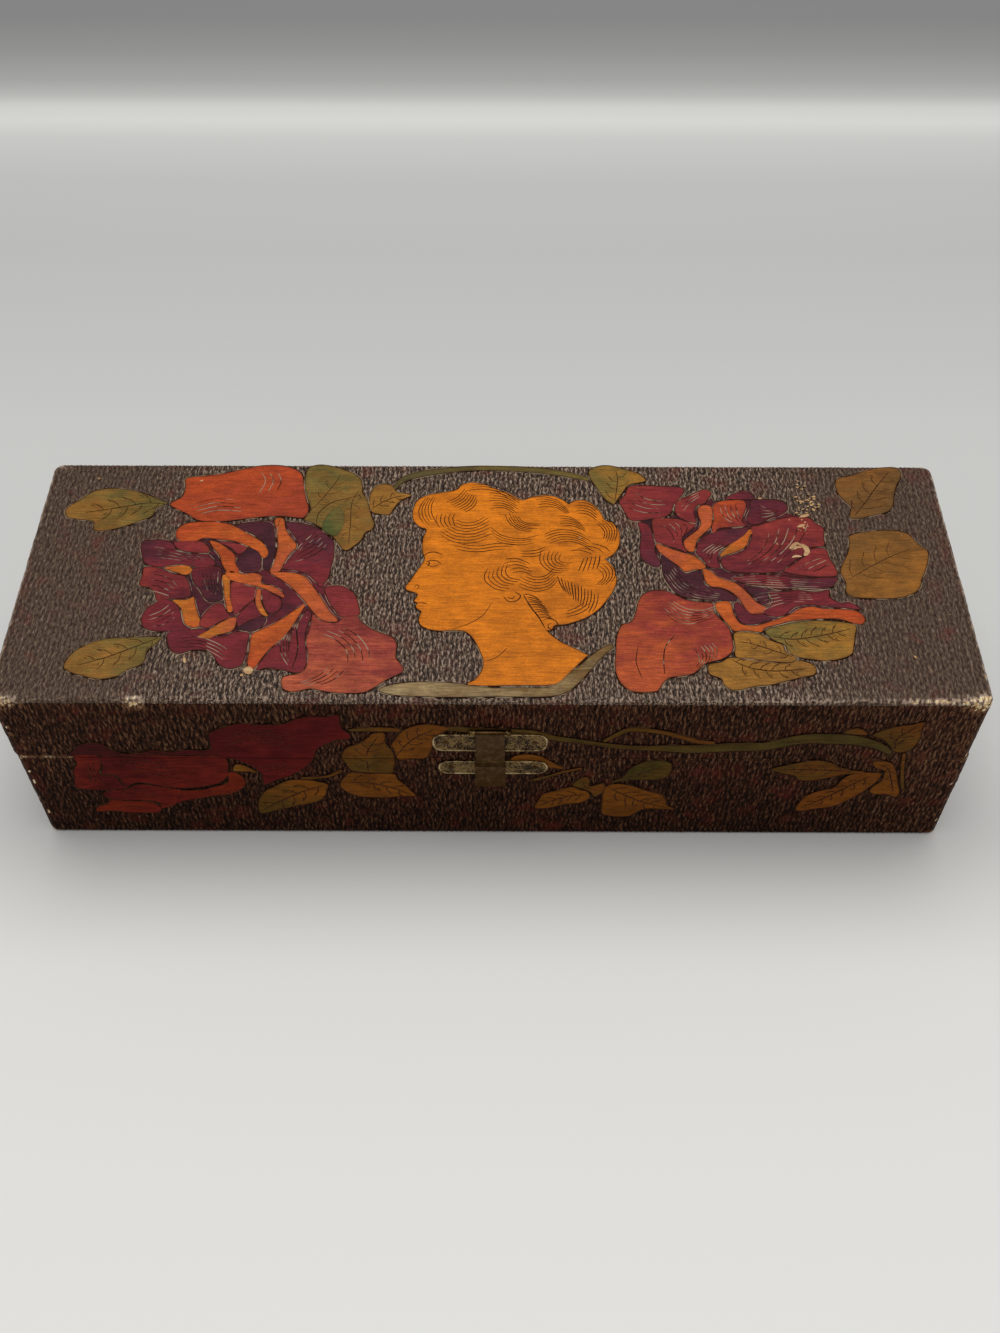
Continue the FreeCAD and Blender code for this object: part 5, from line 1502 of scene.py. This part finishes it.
BACK_STRANDS = [
    (77, 4, [-17, 53, -12, 50, -7, 44], [-8, 57, -4, 52, -1, 48], 0.34),
    (78, 4, [18, 52, 14, 48, 11, 43.6], [9, 56, 7, 51, 6, 47], 0.34),
]
END_SPRAY = [
    (OLIVE, "7A6E3C", 0, stem([-34, 12, 1.2, -24, 19, 1.8, -12, 26, 2.2, -3, 33, 2.2])),
    (RED, CRIMSON, -60, [-13, 33, -14.6, 42, -11, 50, -4, 55, 2, 56.6, 1, 48, -1, 40, -5, 34]),
    (DARK_CRIMSON, RED, -90, [14, 35, 15, 43, 12, 51, 7, 55, 2.4, 55, 1.6, 47, 4, 40, 8, 34.6]),
    (RED_ORANGE, RED, 60, [-6, 33, -0.6, 39, 1.6, 46, 4.4, 39, 9, 33, 2, 29.6]),
    (GOLD, OLIVE, 20, [-21, 22, -28, 27, -36, 27, -41, 22, -38, 16.6, -31, 15, -25, 17]),
    (OCHRE, GOLD, -40, [-10, 26, -8, 18, -1, 12.6, 7, 12, 9, 18, 4, 24, -3, 27.6]),
    (GOLD, OCHRE, 20, [10, 34, 18, 32, 26, 35, 32, 41, 28, 45, 20, 44, 14, 39.6]),
]
END_VEINS = [
    (81, 4.4, 3, [-22.6, 21.6, -28, 22, -33, 21.8, -39, 21.4]),
    (82, 4, 3, [-7.4, 25.6, -3, 21.6, 2, 18, 7, 14.6]), (83, 3, 3, [12.6, 35, 18, 36.8, 24, 39, 30, 42.4]),
]
END_STRANDS = [
    (84, 3, [-12, 48, -8, 46, -4, 40], [-5, 53, -2, 50, 0, 46], 0.32),
]
FINE_VEIN = 0.36
back_lines = veins(BACK_VEINS, FINE_VEIN) + strands(BACK_STRANDS)
end_lines = veins(END_VEINS, FINE_VEIN) + strands(END_STRANDS)
for body, cut, middle_x in (("lid", 1, LID_X), ("base", -1, BASE_X)):
    for side, spray, lines, place in (
        ("back", BACK_SPRAY, back_lines, on_back),
        ("left_end", END_SPRAY, end_lines, on_end(-1, middle_x)),
        ("right_end", END_SPRAY, end_lines, on_end(1, middle_x)),
    ):
        drawing(f"{side}_spray_{body}", spray, place, body, cut, painted_shade=WALL_PAINTED_SHADE)
        burned_lines(f"{side}_lines_{body}", half_lines(lines, cut), place, body)


# %% [markdown]
# The clasp is stamped from sheet brass. Its two plates were stippled by the die and keep a smooth rim,
# and the hasp is smooth. A hundred years of hands left it brown, with lighter metal on the high points.
# The stipple's grains are half a millimetre, and the tarnish lies in clouds five times as large. The
# hinges are the same metal, plated and less handled.

# %% Aged brass
STIPPLE_GRAIN, TARNISH_CLOUD = 0.45, 2.5


def aged_brass(name, high, low, tarnish, roughness, stipple):
    """Brass with a share of stipple, from 0 for smooth to 1."""
    material, tree, place = new_material(name)
    spots = {"Vector": place, "Scale": 1 / (TARNISH_CLOUD * MM), "Detail": 4.0, "Roughness": 0.65}
    cloud = node(tree, "TexNoise", spots)
    grains = node(tree, "TexNoise", {"Vector": place, "Scale": 1 / (STIPPLE_GRAIN * MM), "Detail": 1.0})
    worn = node(tree, "Math", {0: grains, 1: stipple, 2: cloud}, operation="MULTIPLY_ADD")
    middle = 0.5 + 0.5 * stipple
    spread = 0.22 - 0.08 * stipple
    stops = [(middle * (1 - spread), tarnish), (middle, low), (middle * (1 + spread), high)]
    metal = node(tree, "ValToRGB", {"Fac": worn}, stops)
    bump = node(tree, "Bump", {"Height": grains, "Strength": 0.2 + 0.8 * stipple, "Distance": 0.12 * MM})
    look = {"Base Color": metal, "Metallic": 1.0, "Roughness": roughness, "Normal": bump}
    return finish_material(material, look)


stippled_brass = aged_brass("stippled aged brass", "7C643E", "3E2A17", "160E07", 0.5, 0.9)
smooth_brass = aged_brass("smooth aged brass", "4C3820", "402C18", "38260F", 0.34, 0.04)
# pale: metal rubbed bright, and a painted highlight along the plates' rims
rim_brass_rubbed_and_highlit = aged_brass("smooth aged brass, rubbed, with a painted highlight", "C8B288", "9A8258", "5A4630", 0.4, 0.12)
hinge_brass = aged_brass("dull plated brass", "B8965A", "94743E", "5A4426", 0.45, 0.1)


# %% [markdown]
# The hinge pins and the brads are steel wire that has gone dull, with brown spots about a millimetre wide.
# So little of it shows that one material serves for both.

# %% Steel wire
material, tree, place = new_material("dull steel wire")
spots = node(tree, "TexNoise", {"Vector": place, "Scale": 1 / (1.2 * MM), "Detail": 3.0})
steel = node(tree, "ValToRGB", {"Fac": spots}, [(0.35, "4A3A2C"), (0.55, "8C867C")])
dull_steel = finish_material(material, {"Base Color": steel, "Metallic": 1.0, "Roughness": 0.45})


# %% [markdown]
# The hasp is cut from the frame's own shape, and its sharp edges are softened with a small bevel, as a
# bent strap's are. The two plates keep the frame's shapes, and each gets a smooth bead along its rim.
# The bead is a thin line like the burned ones, in brass. Its pale colour is partly metal rubbed bright and
# partly a painted highlight along the plates' edges.

# %% Clasp
SHEET = 0.6  # thickness of the clasp's sheet brass
RIM_INSET = 0.4
RIM_TURN = 30  # degrees between two points on the rim's round ends
BEAD_WIDTH, BEAD_FLATNESS = 0.5, 0.45


def softened(name, body, material, bevel):
    """A copy of a frame piece with its sharp edges eased. It takes the piece's place."""
    bm = bmesh.new()
    bm.from_mesh(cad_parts[name].data)
    bmesh.ops.remove_doubles(bm, verts=bm.verts, dist=0.001 * MM)
    bmesh.ops.recalc_face_normals(bm, faces=bm.faces)
    sharp = [e for e in bm.edges if len(e.link_faces) == 2 and e.calc_face_angle(0) > SHARP_ANGLE]
    bmesh.ops.bevel(
        bm,
        geom=sharp,
        offset=bevel * MM,
        offset_type="OFFSET",
        segments=2,
        profile=0.5,
        affect="EDGES",
        clamp_overlap=True,
        material=-1,
    )
    print(name, "softened to", len(bm.faces), "faces")
    piece = finish_piece(name + "_worn", bm, [material], body)
    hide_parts(name)


def plate_rim(name, node_name, height, radius, body):
    """A smooth bead along a plate's outline. It starts and ends behind the hasp."""
    low, high = box_mm(node_name)
    left, right = low.x + RIM_INSET + radius, high.x - RIM_INSET - radius
    floor_z, roof_z = low.z + RIM_INSET, low.z + height - RIM_INSET
    path = [((left + right) / 2, roof_z)]
    for middle_x, first, last in ((right, 90, -90), (left, -90, -270)):
        for turn in range(first, last - 1, -RIM_TURN):
            angle = math.radians(turn)
            centre_z = roof_z - radius if math.sin(angle) > 0 else floor_z + radius
            if abs(math.sin(angle)) < 0.01:
                centre_z = (roof_z + floor_z) / 2
            path.append((middle_x + radius * math.cos(angle), centre_z + radius * math.sin(angle)))
    path.append(path[0])
    burned_lines(name, [(path, BEAD_WIDTH)], on_front, body, SHEET, rim_brass_rubbed_and_highlit, BEAD_FLATNESS)


softened("clasp_hasp", "hasp", smooth_brass, 0.12)
plate_rim("clasp_plate_rim", "clasp_plate", 8.5, 3.0, "lid")
plate_rim("clasp_keeper_rim", "clasp_keeper", 6.8, 2.9, "base")


# %% [markdown]
# The floor is a sheet of pale paper that rises at the back, as in a small photo studio. The paper is
# matt. Its colour changes slowly from front to back and carries painted light and shade: a painted shadow
# just in front of the box, a painted pool of light about 0.4 m behind it, and painted shade further back.
# Its fibres are drawn coarser than real ones, so that they show.

# %% Floor
PAPER_WIDTH = 3.2  # metres, as all sizes of the floor
PAPER_SIDE = [(-1.6, 0), (-0.4, 0), (0.62, 0), (0.7, 0.008), (0.8, 0.04), (0.9, 0.1), (1, 0.22), (1.1, 0.5)]
PAPER_PAINTED_LIGHT_AND_SHADE = [  # from front to back
    (0.05, "EFEEEA"), (0.19, "E9E8E4"), (0.225, "DEDDD9"), (0.252, "D2D1CE"), (0.3, "D6D6D3"),
    (0.484, "D1D1CE"), (0.556, "CACAC8"), (0.646, "C4C4C2"), (0.7175, "C7C7C5"), (0.764, "D2D2CF"),
    (0.786, "E1E2DD"), (0.803, "DADAD6"), (0.8175, "BFBFBC"), (0.836, "ACACA9"), (0.876, "989896"),
    (0.92, "8B8B8B"), (1.0, "8A8A8A"),
]


def studio_paper():
    material, tree, place = new_material("matt studio paper with painted light and shade")
    depth = node(tree, "SeparateXYZ", {"Vector": place}).outputs["Y"]
    share = node(tree, "MapRange", {"Value": depth, "From Min": -0.25, "From Max": 0.55})
    # pale paper with a painted shadow, a painted pool of light and painted shade in its ramp
    paper = node(tree, "ValToRGB", {"Fac": share}, PAPER_PAINTED_LIGHT_AND_SHADE)
    fibre = node(tree, "TexNoise", {"Vector": place, "Scale": 1 / (2 * MM), "Detail": 3.0})
    bump = node(tree, "Bump", {"Height": fibre, "Strength": 0.1, "Distance": 0.05 * MM})
    return finish_material(material, {"Base Color": paper, "Roughness": 0.9, "Normal": bump})


def studio_floor():
    bm = bmesh.new()
    edge = [bm.verts.new((-PAPER_WIDTH / 2, y, z)) for y, z in PAPER_SIDE]
    for first, second in zip(edge, edge[1:]):
        bm.edges.new((first, second))
    across = bmesh.ops.extrude_edge_only(bm, edges=bm.edges)["geom"]
    moved = [v for v in across if isinstance(v, bmesh.types.BMVert)]
    bmesh.ops.translate(bm, verts=moved, vec=(PAPER_WIDTH, 0, 0))
    bmesh.ops.recalc_face_normals(bm, faces=bm.faces)
    if sum(face.normal.z for face in bm.faces) < 0:
        bmesh.ops.reverse_faces(bm, faces=bm.faces)
    floor = new_object("studio_floor", bm, [studio_paper()])
    print("floor:", len(floor.data.polygons), "faces")


studio_floor()


# %% [markdown]
# One wide soft light hangs over and a little behind the box, so the lid's varnish catches it and the front
# lies in shade. The sky's even light fills the rest.

# %% Light
LAMP_PLACE, LAMP_TARGET = Vector((0.0, 0.15, 1.7)), Vector((0, 0, 0.03))  # metres
LAMP_WIDTH, LAMP_WATTS, SKY_STRENGTH = 1.6, 20.0, 0.35
lamp = bpy.data.lights.new("overhead", "AREA")
lamp.shape = "DISK"
lamp.size = LAMP_WIDTH
lamp.energy = LAMP_WATTS
overhead = bpy.data.objects.new("overhead", lamp)
overhead.location = LAMP_PLACE
overhead.rotation_euler = (LAMP_TARGET - LAMP_PLACE).to_track_quat("-Z", "Y").to_euler()
bpy.context.scene.collection.objects.link(overhead)
world = bpy.data.worlds.new("sky")
bpy.context.scene.world = world
world.use_nodes = True
sky = world.node_tree.nodes["Background"]
sky.inputs["Color"].default_value = (1, 1, 1, 1)
sky.inputs["Strength"].default_value = SKY_STRENGTH
bpy.context.scene.view_settings.view_transform = "Standard"
print("lamp", LAMP_WATTS, "W, sky", SKY_STRENGTH)


# %% [markdown]
# The boards, hinges and nails keep their own shapes and get their finishes. A board's grain follows its
# length, so the end boards have the turned wood.

# %% Finishes of the frame's pieces
for name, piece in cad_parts.items():
    if name.endswith(("left_board", "right_board")):
        finish = basswood_end
    elif name.endswith("_board"):
        finish = basswood_long
    elif name.endswith(("brads", "_pin")) and not name.startswith("clasp"):
        finish = dull_steel
    elif name.startswith("hinge"):
        finish = hinge_brass
    else:
        finish = stippled_brass if name in ("clasp_plate", "clasp_keeper") else smooth_brass
    piece.data.materials.clear()
    piece.data.materials.append(finish)
print("finishes given to", len(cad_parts), "nodes")
